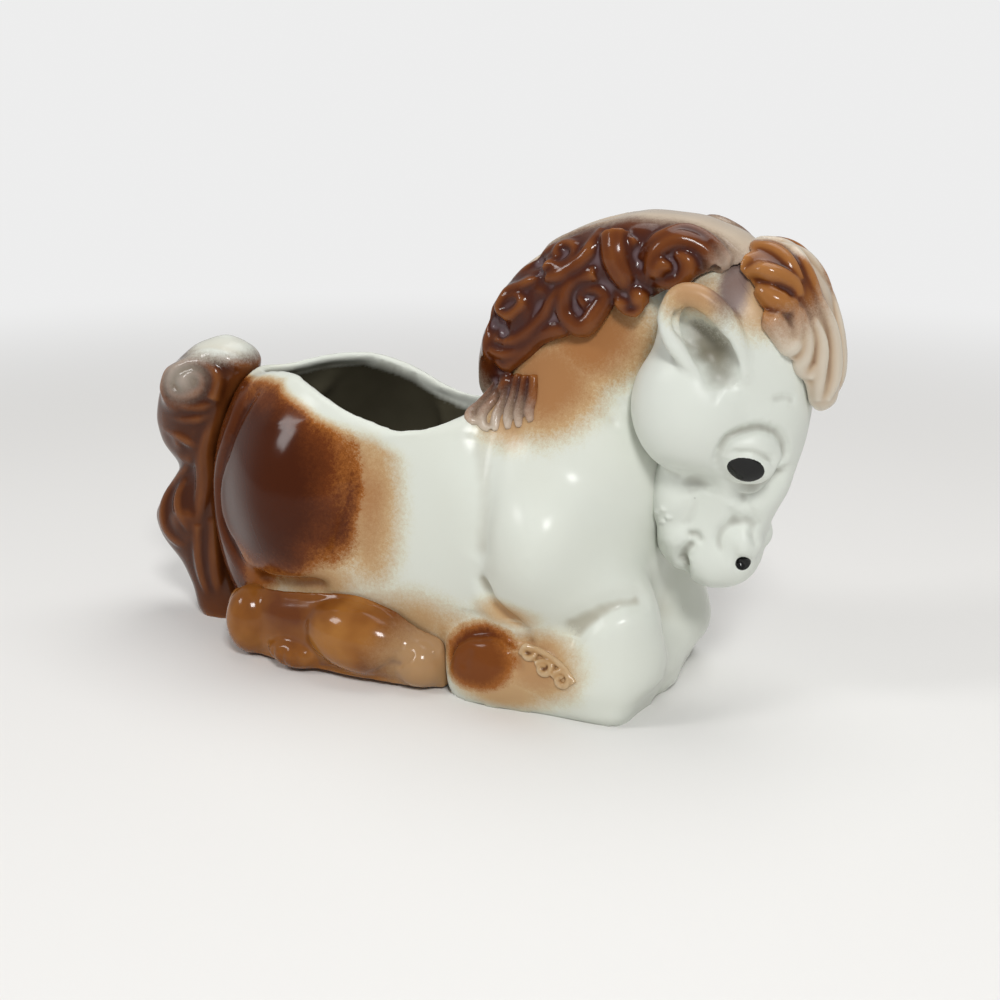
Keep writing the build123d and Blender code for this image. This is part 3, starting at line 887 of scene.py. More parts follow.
# %% The mane's lower locks and the locks over the ear
LOWER_LOCKS = (
    # sweep band high
    ((1.2, 1.8, 1), (
        (47.7, -19.6, 110), (45.4, -18.3, 106.7), (43.3, -17.2, 102.6), (40.1, -17.2, 99.1),
        (35.7, -16.7, 96), (31.6, -17.6, 94.9), (27.5, -17.2, 95.7),
    )),
    # sweep band middle
    ((1.2, 1.8, 1), (
        (48.6, -18.2, 103.4), (45.6, -16, 99), (42.1, -16, 95.7), (37.9, -15.9, 93.5),
        (33.4, -16, 91.8), (29.6, -16.2, 91.4), (26.5, -15.2, 92.2),
    )),
    # sweep band low
    ((1.3, 2.1, 1.1), (
        (49.2, -17.7, 98.2), (47.9, -17.3, 94.8), (45, -17.6, 92.1), (40.8, -17.3, 89.8),
        (35.3, -15.7, 88), (30.5, -14.5, 88), (28.1, -17, 90.1),
    )),
    # crest curl
    ((1.1, 1.3, 0.8), (
        (40.6, -18.5, 112.7), (36, -16.6, 109.4), (31.1, -14.6, 108.1), (29.4, -16.6, 106.5),
        (28.3, -15.4, 102.9), (31.8, -18.1, 101.2), (34.8, -17.3, 102.8), (37.1, -19, 106.3),
        (34.1, -16.5, 107.7), (31.2, -16.2, 106),
    )),
)

EAR_LOCKS = (
    # ear lock strand
    ((1.2, 2.2, 1.2), (
        (68.6, -15.1, 109.2), (70.2, -18.7, 115.1), (71.6, -18.1, 119.2), (73.8, -16.4, 121.6),
        (76.7, -14.8, 122.3), (80.3, -14.1, 121.7), (83.9, -14.2, 119.7), (86.4, -14, 116.8),
        (87.8, -14, 113.8), (89.3, -15.4, 111.4),
    )),
    # ear lock outer
    ((1, 1.7, 1), (
        (67.8, -16.6, 117.6), (70.1, -16.2, 122.5), (73.4, -15.8, 125), (76.5, -12.1, 125.2),
        (80.6, -11.6, 124), (84.8, -12.7, 121.8), (87.8, -13, 118.2), (89.3, -13.2, 114.5),
        (90.5, -14.9, 111.9),
    )),
    # ear lock end
    ((1.5, 2.6, 2), (
        (71.9, -18.9, 113.3), (72.5, -18.1, 115.6), (73.5, -16, 116.6), (74.3, -16, 117.9),
    )),
)

# %% Strands of the crest and of the mane's foot
# Long strands along the crest, and a bumpy edge where the curls reach it
CREST_STRANDS = (
    ((1, 1.7, 1), (
        (74, -3, 128), (62, -4, 127), (50, -3, 123), (40, -4, 115), (32, -3, 104), (28, -3.6, 92),
    )),
    ((1, 1.6, 1), (
        (70, -8.5, 126), (60, -8, 125), (51, -9, 121), (44, -8, 116), (36, -9.5, 111),
        (31, -8, 103), (28, -8.4, 92),
    )),
    ((1.2, 2.2, 1.4), (
        (51, -12, 121), (46, -12.5, 119.5), (41, -11, 115), (37, -12, 113), (32, -11, 109),
    )),
    ((1.2, 2.2, 1.4), (
        (32, -12, 108), (28.4, -12.5, 104), (27.6, -11, 98), (26.6, -12, 93),
    )),
)
# Straight strands at the foot of the mane, laid on the neck
FOOT_STRANDS = (
    ((25, -13, 86), (23.2, -16, 81), (21.6, -18.5, 76.5), (22.4, -20, 73.4), (24.6, -20.6, 73.4)),
    (
        (28, -14.5, 86), (26.6, -17, 81), (25.4, -19, 76.6), (26.4, -20.6, 72.6),
        (28.4, -20.4, 72.2),
    ),
    ((31, -15.5, 86.5), (30.4, -17.6, 81), (29.2, -19.4, 76), (30.4, -20.4, 71.8)),
    ((34, -16.5, 87), (33.8, -18.4, 81.6), (32.8, -19.8, 76.6), (34.2, -20.8, 72.8)),
    ((36.8, -17.6, 87), (37.2, -19, 82), (36.2, -20.4, 77.4), (37.4, -21.6, 73.8)),
    ((39.4, -18.4, 87.4), (40.4, -19.6, 82.6), (39.4, -20.8, 78.6), (40.8, -21.6, 75.6)),
)
FOOT_RADII = (1.3, 1.6, 0.9)
# Valleys between the curls where they reach the crest's back edge
OUTLINE_NOTCHES = (
    ((44, -17, 112.5), (40.5, -14, 114.5), (37.8, -9, 115.5), (37, -4, 115.6)),
    ((33, -17, 97.5), (29, -14.5, 98.2), (26.6, -9, 98.8), (26.2, -4, 99)),
)

# %% The mane as one mass
mane = rough_copy("mane_casting", "mane")
fuse(mane, 0.9)
rub(mane, 25)
lay_locks(mane, CREST_STRANDS, 1, 0.5)
lay_locks(mane, UPPER_LOCKS + LOWER_LOCKS + EAR_LOCKS, 1.5, 0.3)
neck_skin = surface_of(casting)
for side in (1, -1):
    for points in FOOT_STRANDS:
        join(mane, [roll(lay(on_side(points, side), neck_skin, LAID_PROUD), FOOT_RADII)])
fuse(mane, 0.43)
rub(mane, 4)
for notch in OUTLINE_NOTCHES:
    draw(mane, notch, 2.6, 1.7)
rub(mane, 2)
mark_hollows(mane, 1.5, 50)

# %% [markdown]
# ## The forelock
#
# The forelock tumbles over the brow between the ears, with one curled lobe at the side. It is
# made as the mane is, because it is the same hair by the same hand.

# %% Forelock locks
FORELOCK_LOCKS = (
    # top strand
    ((1, 1.8, 1), (
        (87, -0.4, 120.3), (91.8, -5.2, 121.3), (96.5, -5.8, 121), (100.4, -6.9, 119.3),
        (103.4, -8.2, 116.6), (105.2, -8.7, 113.9),
    )),
    # outer edge
    ((1, 1.6, 1), (
        (89.8, 0.7, 122.2), (93.8, 1.8, 122), (97, 4.7, 121), (102.4, -1.9, 119.6),
        (105.7, -4.4, 115.8), (108.1, -5.6, 111.8), (109.8, -5.5, 108),
    )),
    # second strand
    ((1, 1.8, 1), (
        (92.4, -13, 114.4), (95.7, -12.7, 116.2), (99.3, -13.5, 116.4), (102.2, -11.4, 114.6),
        (104.9, -10.2, 112.7), (105.9, -11, 110.5),
    )),
    # third strand
    ((1.4, 2.4, 1.2), (
        (93.3, -15.2, 109.8), (96.8, -13.7, 109.3), (101.2, -13.7, 108.9), (104.1, -12.7, 108.2),
        (105.5, -11.8, 109.6),
    )),
    # curl lobe
    ((1.6, 2.2, 1), (
        (105, -12.3, 107.5), (105.9, -12.3, 104), (105.2, -12.5, 100.1), (102.9, -13.6, 97.9),
        (100.1, -15.9, 98.1), (97.7, -17, 100.3), (97.4, -16.4, 103), (99.4, -15.4, 104.7),
        (102, -14.2, 104), (102.7, -13.4, 101.5), (101.4, -14.6, 100.2),
    )),
    # side lock
    ((1.2, 1.7, 0.9), (
        (106.1, -11.8, 106.8), (107.5, -11.3, 103), (108.1, -10.9, 99.1), (107.5, -10.9, 95.7),
        (106.1, -10.8, 93.1), (106.5, -9.7, 90.7), (108.5, -8.9, 90.5),
    )),
    # side lock tip
    ((0.9, 1.2, 0.8), (
        (110, -8.9, 93.6), (109.2, -8.9, 91.6), (108.3, -9, 90.3),
    )),
    # inner far lock
    ((1, 1.6, 0.9), (
        (108.9, -9.1, 104.7), (110.5, -7.8, 101.2), (111.2, -7.5, 96.9), (110.8, -7.8, 92.5),
        (110.6, -7.1, 87.9), (110.2, -5.3, 84.1),
    )),
    # far lock
    ((1.2, 1.9, 1), (
        (109.5, -5.5, 109), (111.4, -3.3, 104.5), (112.8, -2.5, 99.1), (113.5, -2.7, 93.3),
        (113.6, -3, 87.9), (112.1, -4.1, 84),
    )),
)

forelock = rough_copy("forelock_casting", "forelock")
fuse(forelock, 0.8)
rub(forelock, 20)
lay_locks(forelock, FORELOCK_LOCKS, 1.45, 0.3)
fuse(forelock, 0.4)
rub(forelock, 4)
mark_hollows(forelock, 1.5, 50)

# %% [markdown]
# ## The tail
#
# The tail stands up behind the rump like a handle: a spiral on top, ribs below it and two falls
# of hair that part at the foot. Its locks are fuller and softer than the mane's, so the rolls are
# thicker and are sunk deeper before they are fused.

# %% Tail locks
TAIL_LOCKS = (
    # spiral
    ((1.4, 1.3, 0.7), (
        (-65.6, -10.6, 69.5), (-63.9, -9.9, 73.9), (-64.7, -9.7, 77.9), (-68.8, -9.5, 80.5),
        (-74.4, -9.8, 80.1), (-78.7, -10.6, 76.9), (-80.7, -10.2, 72.5), (-76.8, -12.1, 69.9),
        (-71, -13.1, 70.6), (-68.5, -11.5, 72.7), (-68.7, -11.2, 76.4), (-72.3, -11.1, 77.3),
        (-74.4, -12.8, 75.9), (-73.5, -13.8, 73.5), (-71.4, -12.6, 73.2),
    )),
    # upper ridge
    ((1, 1.7, 1.2), (
        (-76.1, -11.1, 80.5), (-73, -7.8, 82.3), (-66.5, -8.3, 82.5), (-61.6, -6.6, 81.1),
        (-58.5, -4.3, 78.9), (-57.4, -0.8, 79.2),
    )),
    # rib 1
    ((0.9, 1.3, 0.9), (
        (-82.1, -13.2, 68.9), (-75, -13.7, 67.4), (-69.4, -11.8, 67), (-64.5, -9.9, 68.6),
    )),
    # rib 2
    ((0.9, 1.3, 0.9), (
        (-85.5, -9.3, 63.2), (-78.1, -11.9, 62.7), (-71.2, -12.1, 63.3), (-66.4, -10.6, 64.8),
    )),
    # rib 3
    ((0.9, 1.3, 0.9), (
        (-85.9, -8.9, 58.7), (-79, -12.4, 58), (-75.1, -11, 56.6), (-71.1, -11.7, 54.9),
    )),
    # middle strand
    ((1, 1.8, 1.2), (
        (-64.7, -9.7, 66.4), (-67.6, -10.6, 60.3), (-70.6, -9.5, 52.9), (-72, -8.3, 44),
        (-73.3, -9.3, 36.3), (-73.5, -11, 30.5),
    )),
    # left lobe outer
    ((1, 2, 1), (
        (-75.5, -11, 49.3), (-84.9, -5.4, 42.2), (-88.6, -6, 36), (-88.5, -8.6, 30.3),
        (-85.8, -8.9, 25.1), (-80.1, -10, 22.6), (-74.2, -9.9, 22.2),
    )),
    # left lobe inner
    ((1, 1.7, 0.9), (
        (-77.3, -7.8, 45.6), (-81.4, -8.1, 40.5), (-81.4, -9.3, 35.3), (-78.3, -10.3, 31.3),
        (-75.8, -11, 26.3),
    )),
    # fall 1
    ((1.2, 1.5, 1), (
        (-73.4, -10.8, 30.5), (-74.5, -10.1, 23), (-74.7, -8.6, 15.3), (-73.2, -8.8, 7.5),
    )),
    # fall 2
    ((1.2, 1.6, 1), (
        (-69.7, -8.2, 31.8), (-70.1, -8.7, 24), (-70.3, -7.9, 15.7), (-69.3, -8.4, 8),
    )),
)

tail = rough_copy("tail_casting", "tail")
fuse(tail, 0.9)
rub(tail, 25)
lay_locks(tail, TAIL_LOCKS, 1.9, 0.6)
fuse(tail, 0.45)
rub(tail, 6)
mark_hollows(tail, 1.5, 50)

# %% [markdown]
# ## Glazes
#
# The pony is dipped in a cream glaze and sprayed with browns, and the brown breaks: it runs thin
# and bright off ridges, and pools dark in grooves. Painted shade darkens the creases and grooves
# further, and colours the inside of the well. A painted texture would have a resolution and a
# seam. So each material builds its colour from the object's own coordinates and from the hollow,
# well and lip attributes, and works at any distance.

# %% Node helpers
def rgba(colour):
    """Adds a full alpha to a plain colour, and leaves an output of a node alone."""
    return colour if isinstance(colour, bpy.types.NodeSocket) else (*colour, 1)


class Tree:
    """Adds nodes to a node tree and links them with short calls."""

    def __init__(self, tree):
        self.tree = tree

    def node(self, kind, **settings):
        node = self.tree.nodes.new(kind)
        for key, value in settings.items():
            setattr(node, key, value)
        return node

    def link(self, source, target):
        self.tree.links.new(source, target)

    def feed(self, socket, value):
        """Links an output to the socket, or writes a value into it."""
        if isinstance(value, bpy.types.NodeSocket):
            self.link(value, socket)
        else:
            socket.default_value = value

    def maths(self, operation, *values):
        node = self.node("ShaderNodeMath", operation=operation)
        for socket, value in zip(node.inputs, values):
            self.feed(socket, value)
        return node.outputs[0]

    def times(self, first, second):
        return self.maths("MULTIPLY", first, second)

    def plus(self, first, second):
        return self.maths("ADD", first, second)

    def minus(self, first, second):
        return self.maths("SUBTRACT", first, second)

    def most(self, first, second):
        return self.maths("MAXIMUM", first, second)

    def vector(self, operation, *values):
        node = self.node("ShaderNodeVectorMath", operation=operation)
        for socket, value in zip(node.inputs, values):
            self.feed(socket, value)
        return node.outputs["Value" if operation == "LENGTH" else "Vector"]

    def ramp(self, value, stops):
        """A colour ramp with stops of a position and a colour."""
        node = self.node("ShaderNodeValToRGB")
        points = node.color_ramp.elements
        while len(points) < len(stops):
            points.new(0.5)
        for point, (place, colour) in zip(points, stops):
            point.position = place
            point.color = rgba(colour)
        self.feed(node.inputs["Fac"], value)
        return node.outputs["Color"]

    def mix(self, factor, first, second):
        node = self.node("ShaderNodeMix", data_type="RGBA")
        self.feed(node.inputs["Factor"], factor)
        self.feed(node.inputs["A"], rgba(first))
        self.feed(node.inputs["B"], rgba(second))
        return node.outputs["Result"]

    def noise(self, place, scale, detail=2, rough=0.5):
        node = self.node("ShaderNodeTexNoise")
        self.feed(node.inputs["Vector"], place)
        node.inputs["Scale"].default_value = scale
        node.inputs["Detail"].default_value = detail
        node.inputs["Roughness"].default_value = rough
        return node.outputs["Fac"]

    def smooth(self, value, low, high):
        """0 below low and 1 above high, with a soft step between them."""
        node = self.node("ShaderNodeMapRange", interpolation_type="SMOOTHSTEP")
        self.feed(node.inputs["Value"], value)
        self.feed(node.inputs["From Min"], low)
        self.feed(node.inputs["From Max"], high)
        return node.outputs["Result"]

    def place(self):
        return self.node("ShaderNodeTexCoord").outputs["Object"]

    def attribute(self, name):
        return self.node("ShaderNodeAttribute", attribute_name=name).outputs["Fac"]

    def group(self, group, **values):
        """Places a node group with its own values, and gives its outputs."""
        node = self.node("ShaderNodeGroup", node_tree=group)
        for title, value in values.items():
            node.inputs[title].default_value = value
        return node.outputs


# %% Node groups
FLOAT, VECTOR = "NodeSocketFloat", "NodeSocketVector"


def new_group(name, inputs, outputs):
    """A shader node group with named sockets: (name, kind, default) in and names out."""
    group = bpy.data.node_groups.new(name, "ShaderNodeTree")
    for title, kind, default in inputs:
        socket = group.interface.new_socket(title, in_out="INPUT", socket_type=kind)
        socket.default_value = default
    for title in outputs:
        group.interface.new_socket(title, in_out="OUTPUT", socket_type=FLOAT)
    tree = Tree(group)
    tree.into = tree.node("NodeGroupInput").outputs
    tree.out = tree.node("NodeGroupOutput").inputs
    print("group", name, "opened with", len(outputs), "outputs")
    return group, tree


# %% The airbrush: a soft egg of sprayed colour with a speckled edge
DRIFT_SCALE, BLOT_SCALE, GRAIN_SCALE = 70, 900, 2600

airbrush, g = new_group("airbrush", [
    ("Centre", VECTOR, (0, 0, 0)), ("Radii", VECTOR, (0.02, 0.02, 0.02)), ("Inner", FLOAT, 0.4),
    ("Outer", FLOAT, 1.2), ("Spatter", FLOAT, 0.35)], ["Spray"])
place = g.place()
apart = g.node("ShaderNodeSeparateXYZ")
g.link(place, apart.inputs[0])
folded = g.node("ShaderNodeCombineXYZ")
g.link(apart.outputs["X"], folded.inputs["X"])
g.link(g.maths("ABSOLUTE", apart.outputs["Y"]), folded.inputs["Y"])
g.link(apart.outputs["Z"], folded.inputs["Z"])
away = g.vector("SUBTRACT", folded.outputs[0], g.into["Centre"])
distance = g.vector("LENGTH", g.vector("DIVIDE", away, g.into["Radii"]))
drift = g.times(g.minus(g.noise(place, DRIFT_SCALE), 0.5), 0.3)
grain = g.times(g.minus(g.noise(place, GRAIN_SCALE, 2, 0.7), 0.5), g.into["Spatter"])
blot = g.times(g.minus(g.noise(place, BLOT_SCALE, 2, 0.6), 0.5), g.into["Spatter"])
total = g.plus(g.plus(distance, drift), g.plus(grain, blot))
g.link(g.minus(1.0, g.smooth(total, g.into["Inner"], g.into["Outer"])), g.out["Spray"])

# %% The glaze skin: fine waves, pinholes and specks
WAVE_SCALE, RIPPLE_SCALE, DOT_SCALE, MOTTLE_SCALE = 130, 600, 110, 45

skin_group, g = new_group(
    "glaze_skin", [("Waves", FLOAT, 0.5), ("Specks", FLOAT, 0.5)], ["Height", "Speck", "Mottle"])
place = g.place()
waves = g.times(g.noise(place, WAVE_SCALE), g.into["Waves"])
ripple = g.times(g.noise(place, RIPPLE_SCALE, 1), 0.08)
dots = g.node("ShaderNodeTexVoronoi", feature="F1")
g.link(place, dots.inputs["Vector"])
dots.inputs["Scale"].default_value = DOT_SCALE
near_dot = g.minus(1.0, g.smooth(dots.outputs["Distance"], 0.02, 0.06))
chosen = g.smooth(dots.outputs["Color"], 0.80, 0.82)
speck = g.times(g.times(near_dot, chosen), g.into["Specks"])
g.link(g.minus(g.plus(waves, ripple), g.times(speck, 0.3)), g.out["Height"])
g.link(speck, g.out["Speck"])
g.link(g.noise(place, MOTTLE_SCALE, 3), g.out["Mottle"])

# %% Glaze colours
CREAM = (0.69, 0.72, 0.66)
CREAM_SHADE = (0.36, 0.33, 0.25)
SATIN_SHADE = (0.38, 0.38, 0.33)
WARM_CREAM = (0.64, 0.63, 0.51)
# Painted shade: the dark colours of the inside of the well
WELL_SHADE_PALE, WELL_SHADE_DARK = (0.11, 0.10, 0.068), (0.04, 0.034, 0.02)
EAR_SHADE = (0.16, 0.14, 0.09)
PAINT_BLACK = (0.004, 0.004, 0.004)
SPECK_BROWN = (0.06, 0.05, 0.03)
TAN = (0.50, 0.33, 0.17)
AMBER = (0.30, 0.10, 0.020)
RUST = (0.13, 0.032, 0.006)
OXBLOOD = (0.055, 0.011, 0.002)
POOL = (0.115, 0.072, 0.078)
GLAZE_RUN = (
    (0, CREAM), (0.16, WARM_CREAM), (0.34, TAN), (0.55, AMBER), (0.75, RUST), (1, OXBLOOD),
)
print("glaze run of", len(GLAZE_RUN), "colours, from cream to oxblood")


# %% A glazed material with its surface
def glaze(name, rough, waves, specks, bump, shine):
    """A new material: its tree, its Principled shader, the glaze skin and its roughness."""
    material = bpy.data.materials.new(name)
    material.use_nodes = True
    t = Tree(material.node_tree)
    shader = material.node_tree.nodes["Principled BSDF"]
    shader.inputs["Specular IOR Level"].default_value = shine
    shader.inputs["IOR"].default_value = 1.5
    skin = t.group(skin_group, Waves=waves, Specks=specks)
    relief = t.node("ShaderNodeBump")
    relief.inputs["Strength"].default_value = bump
    relief.inputs["Distance"].default_value = 0.3 * MM
    t.link(skin["Height"], relief.inputs["Height"])
    t.link(relief.outputs["Normal"], shader.inputs["Normal"])
    satin = t.plus(rough, t.times(skin["Mottle"], 0.12))
    t.link(satin, shader.inputs["Roughness"])
    print("glaze", name)
    return material, t, shader.inputs, skin, satin


def spray(t, centre, radii, inner=0.4, outer=1.2, spatter=0.35):
    """One egg of sprayed colour, centre and radii in mm. The far side gets it too."""
    centre, radii = [[v * MM for v in row] for row in (centre, radii)]
    values = dict(Centre=centre, Radii=radii, Inner=inner, Outer=outer, Spatter=spatter)
    return t.group(airbrush, **values)["Spray"]


# %% [markdown]
# ## The cream glaze and its sprayed patches
#
# Haunch, neck, hooves and fetlocks were sprayed by hand over the wet cream, so their edges are
# soft and speckled. Painting by vertices would be coarse. So each patch is an egg in space: its
# strength runs through one ramp from cream to oxblood, and a speckle breaks up its edge.


# %% Sprayed cream of the trunk and the forelegs
def sprayed_cream(name, patches):
    """Cream glaze, with painted shade in creases, and eggs of sprayed brown from a table of
    patches.
    """
    material, t, inputs, skin, satin = glaze(name, 0.17, 0.35, 1, 0.2, 0.15)
    hollow = t.attribute("hollow")
    # Painted shade: CREAM_SHADE in the creases, partly glaze that pools there
    cream = t.mix(t.times(t.smooth(hollow, 0.55, 1), 0.8), CREAM, CREAM_SHADE)
    cream = t.mix(t.times(skin["Mottle"], 0.3), cream, WARM_CREAM)
    spread = 0.0
    for *egg_values, amount in patches:
        spread = t.most(t.times(spray(t, *egg_values), amount), spread)
    # Sprayed brown deepened in creases: glaze that pools there, and painted shade
    pooled_and_shaded = t.times(t.smooth(hollow, 0.52, 0.95), spread)
    spread = t.plus(spread, t.times(pooled_and_shaded, 0.2))
    spread = t.times(spread, t.minus(1.0, t.times(t.attribute("lip"), 0.85)))
    t.link(t.minus(satin, t.times(spread, 0.10)), inputs["Roughness"])
    well = t.attribute("well")
    spread = t.times(spread, t.minus(1.0, well))
    colour = t.mix(t.smooth(spread, 0.02, 0.20), cream, t.ramp(spread, GLAZE_RUN))
    # Painted shade: the inside of the well is coloured dark, mottled between two shades
    colour = t.mix(well, colour, t.mix(skin["Mottle"], WELL_SHADE_PALE, WELL_SHADE_DARK))
    t.link(t.mix(skin["Speck"], colour, SPECK_BROWN), inputs["Base Color"])
    return material


# Centre and radii in mm, inner and outer edge, spatter and amount of each patch
SHARED_SPRAYS = (
    ((8, 34, 18), (30, 20, 13), 0.2, 1.4, 0.3, 0.36),
    ((48, 34, 14), (17, 14, 13), 0.2, 1.3, 0.2, 0.42),
    ((31, 30, 13), (14, 22, 11), 0.5, 1.2, 0.16, 0.70),
    ((38, 34, 26), (13, 16, 6), 0.2, 1.4, 0.2, 0.34),
)
body_glaze = sprayed_cream("cream_glaze_trunk", SHARED_SPRAYS + (
    ((-36, 30, 53), (34, 50, 31), 0.5, 1.26, 0.16, 1.0),
    ((-62, 10, 46), (22, 34, 46), 0.7, 1.3, 0.16, 0.9),
    ((-46, 28, 24), (14, 30, 10), 0.2, 1.4, 0.25, 0.6),
    ((-26, 30, 28), (24, 30, 12), 0.2, 1.4, 0.25, 0.42),
    ((-3, 34, 52), (13, 24, 36), 0.0, 1.4, 0.3, 0.48),
    ((55, 22, 98), (18, 34, 16), 0.3, 1.5, 0.3, 0.50),
    ((44, 22, 86), (17, 34, 16), 0.3, 1.5, 0.3, 0.48),
    ((34, 22, 77), (12, 34, 10), 0.2, 1.5, 0.3, 0.40),
))
foreleg_glaze = sprayed_cream("cream_glaze_forelegs", SHARED_SPRAYS + (
    ((38, 32, 6), (18, 22, 7), 0.3, 1.4, 0.2, 0.36),
))

# %% [markdown]
# ## The head's satin glaze and its painted eyes
#
# The face is duller than the trunk, and the pupils and nostrils are glossy black enamel put on
# with a brush. Small meshes for the pupils would stand proud. So they are the airbrush with a
# hard edge and hardly any spatter, and they lower the roughness where they lie.

# %% Satin cream of the head
head_glaze, t, inputs, skin, satin = glaze("satin_glaze_head", 0.34, 0.4, 0.7, 0.15, 0.35)
# Painted shade: SATIN_SHADE in the creases of the face
cream = t.ramp(t.attribute("hollow"), ((0.56, CREAM), (1, SATIN_SHADE)))
# Painted shade: EAR_SHADE sprayed into the cup of each ear
ear_cup_shade = spray(t, (86, 15.5, 100), (7.5, 5, 10), 0.5, 1.25, 0.1)
cream = t.mix(t.times(ear_cup_shade, 0.85), cream, EAR_SHADE)
crown = spray(t, (84, 23, 113), (14, 12, 11), 0.2, 1.4, 0.3)
brow = spray(t, (98, 10, 112), (16, 20, 14), 0.4, 1.3, 0.3)
spread = t.most(t.times(crown, 0.42), t.times(brow, 0.35))
cream = t.mix(t.smooth(spread, 0.02, 0.20), cream, t.ramp(spread, GLAZE_RUN))
parting = spray(t, (90.5, 13, 113), (4.2, 14, 11), 0.5, 1.3, 0.2)
cream = t.mix(t.times(parting, 0.85), cream, POOL)
pupil = spray(t, (96, 16, 68.1), (4.5, 9, 3.4), 0.97, 1, 0.05)
nostril = spray(t, (94.2, 8.6, 41), (2.1, 4, 2.2), 0.9, 1, 0.05)
paint = t.most(pupil, nostril)
colour = t.mix(skin["Speck"], cream, SPECK_BROWN)
t.link(t.mix(paint, colour, PAINT_BLACK), inputs["Base Color"])
t.link(t.minus(satin, t.times(paint, 0.26)), inputs["Roughness"])

# %% [markdown]
# ## Brown glazes of the hair and the hind legs
#
# On the hair one brown glaze gives every tone, from amber on the ridges to a milky purple where it
# pools. One ramp driven by the hollow attribute does the same, and with it paints a highlight onto
# the ridges and shade into the grooves. Pale patches lie where the brown ran thin, and at the
# forelock's front edge and tips they are a painted sheen. The hind legs have a mottled amber of
# their own, with painted shade in their creases.

# %% Brown glazes of the hair
SANDY = ((0.25, (0.66, 0.60, 0.50)), (0.55, (0.52, 0.40, 0.28)), (0.8, (0.20, 0.09, 0.035)))
PALE = ((0.3, CREAM), (0.6, (0.60, 0.55, 0.44)), (0.9, (0.25, 0.14, 0.08)))
# Ramps by the hollow mark: glaze break, with a painted highlight on the ridges and painted shade
# in the grooves
MANE_BREAK_AND_SHADE = (
    (0.08, (0.27, 0.095, 0.022)), (0.34, (0.13, 0.034, 0.007)), (0.50, (0.065, 0.014, 0.004)),
    (0.62, (0.05, 0.014, 0.010)), (0.74, POOL),
)
FORELOCK_BREAK_AND_SHADE = (
    (0.10, (0.42, 0.19, 0.06)), (0.42, (0.27, 0.10, 0.024)), (0.56, (0.13, 0.035, 0.008)),
    (0.70, (0.06, 0.016, 0.007)), (0.88, POOL),
)
TAIL_BREAK_AND_SHADE = (
    (0.10, (0.30, 0.11, 0.028)), (0.38, (0.12, 0.034, 0.008)), (0.52, (0.06, 0.015, 0.004)),
    (0.66, (0.05, 0.013, 0.006)), (0.88, POOL),
)
FEATHER_BREAK_AND_SHADE = ((0.1, (0.54, 0.39, 0.23)), (0.45, (0.42, 0.25, 0.11)), (0.75, (0.14, 0.06, 0.02)))


def hair_glaze(name, run, patches, pale=SANDY):
    """A brown that follows the hollows, with a painted highlight on ridges and painted shade in
    grooves, and paler patches: centre, radii, inner edge, amount.
    """
    material, t, inputs, _, _ = glaze(name, 0.07, 0.7, 0.3, 0.25, 0.22)
    hollow = t.attribute("hollow")
    colour = t.ramp(hollow, run)
    for centre, radii, inner, amount in patches:
        # Paler patches: thin glaze, and on the forelock's front edge and tips a painted sheen
        thin_glaze_and_sheen = t.times(spray(t, centre, radii, inner, 1.3, 0.25), amount)
        colour = t.mix(thin_glaze_and_sheen, colour, t.ramp(hollow, pale))
    t.link(colour, inputs["Base Color"])
    return material


mane_glaze = hair_glaze("brown_glaze_mane", MANE_BREAK_AND_SHADE, (
    ((60, 0, 110), (200, 10.5, 200), 0.6, 0.95), ((32, 22, 62), (26, 34, 18), 0.4, 0.85),
    ((90, 10, 112), (7, 20, 12), 0.4, 0.5)))
# The forelock's crest band is thin glaze; the patches at its tips and front edge are a painted
# sheen
forelock_glaze = hair_glaze("brown_glaze_forelock", FORELOCK_BREAK_AND_SHADE, (
    ((112, 0, 100), (200, 3.8, 200), 0.7, 0.95), ((108, 10, 89), (16, 20, 17), 0.6, 0.95),
    ((117, 8, 104), (8, 16, 20), 0.5, 0.9)))
tail_glaze = hair_glaze("brown_glaze_tail", TAIL_BREAK_AND_SHADE, (
    ((-66, 0, 90), (22, 20, 9), 0.7, 0.95), ((-76, 12, 76), (9, 12, 8), 0.2, 0.38)), PALE)
feather_glaze = hair_glaze("tan_glaze_feathers", FEATHER_BREAK_AND_SHADE, ())

# %% Amber glaze of the hind legs
AMBER_RUN = (
    (0.35, (0.34, 0.14, 0.030)), (0.5, (0.23, 0.08, 0.014)), (0.68, (0.13, 0.035, 0.007)),
)

amber_glaze, t, inputs, skin, _ = glaze("amber_glaze_hind_legs", 0.07, 0.7, 0.4, 0.25, 0.25)
amber = t.ramp(skin["Mottle"], AMBER_RUN)
hoof = spray(t, (14, 30, 8), (13, 30, 12), 0.5, 1.4, 0.3)
amber = t.mix(t.times(hoof, 0.6), amber, TAN)
# Painted shade in the creases of the hind legs, in the milky purple of glaze that pools there
amber = t.mix(t.times(t.smooth(t.attribute("hollow"), 0.58, 0.95), 0.8), amber, POOL)
t.link(amber, inputs["Base Color"])

# %% [markdown]
# ## Dress the pieces
#
# Every finished piece gets its glaze and rides on the one root body, and the imported node that it
# stands for is hidden. The fetlock curls stand for the forelegs too, because they were modelled as
# part of those solids.

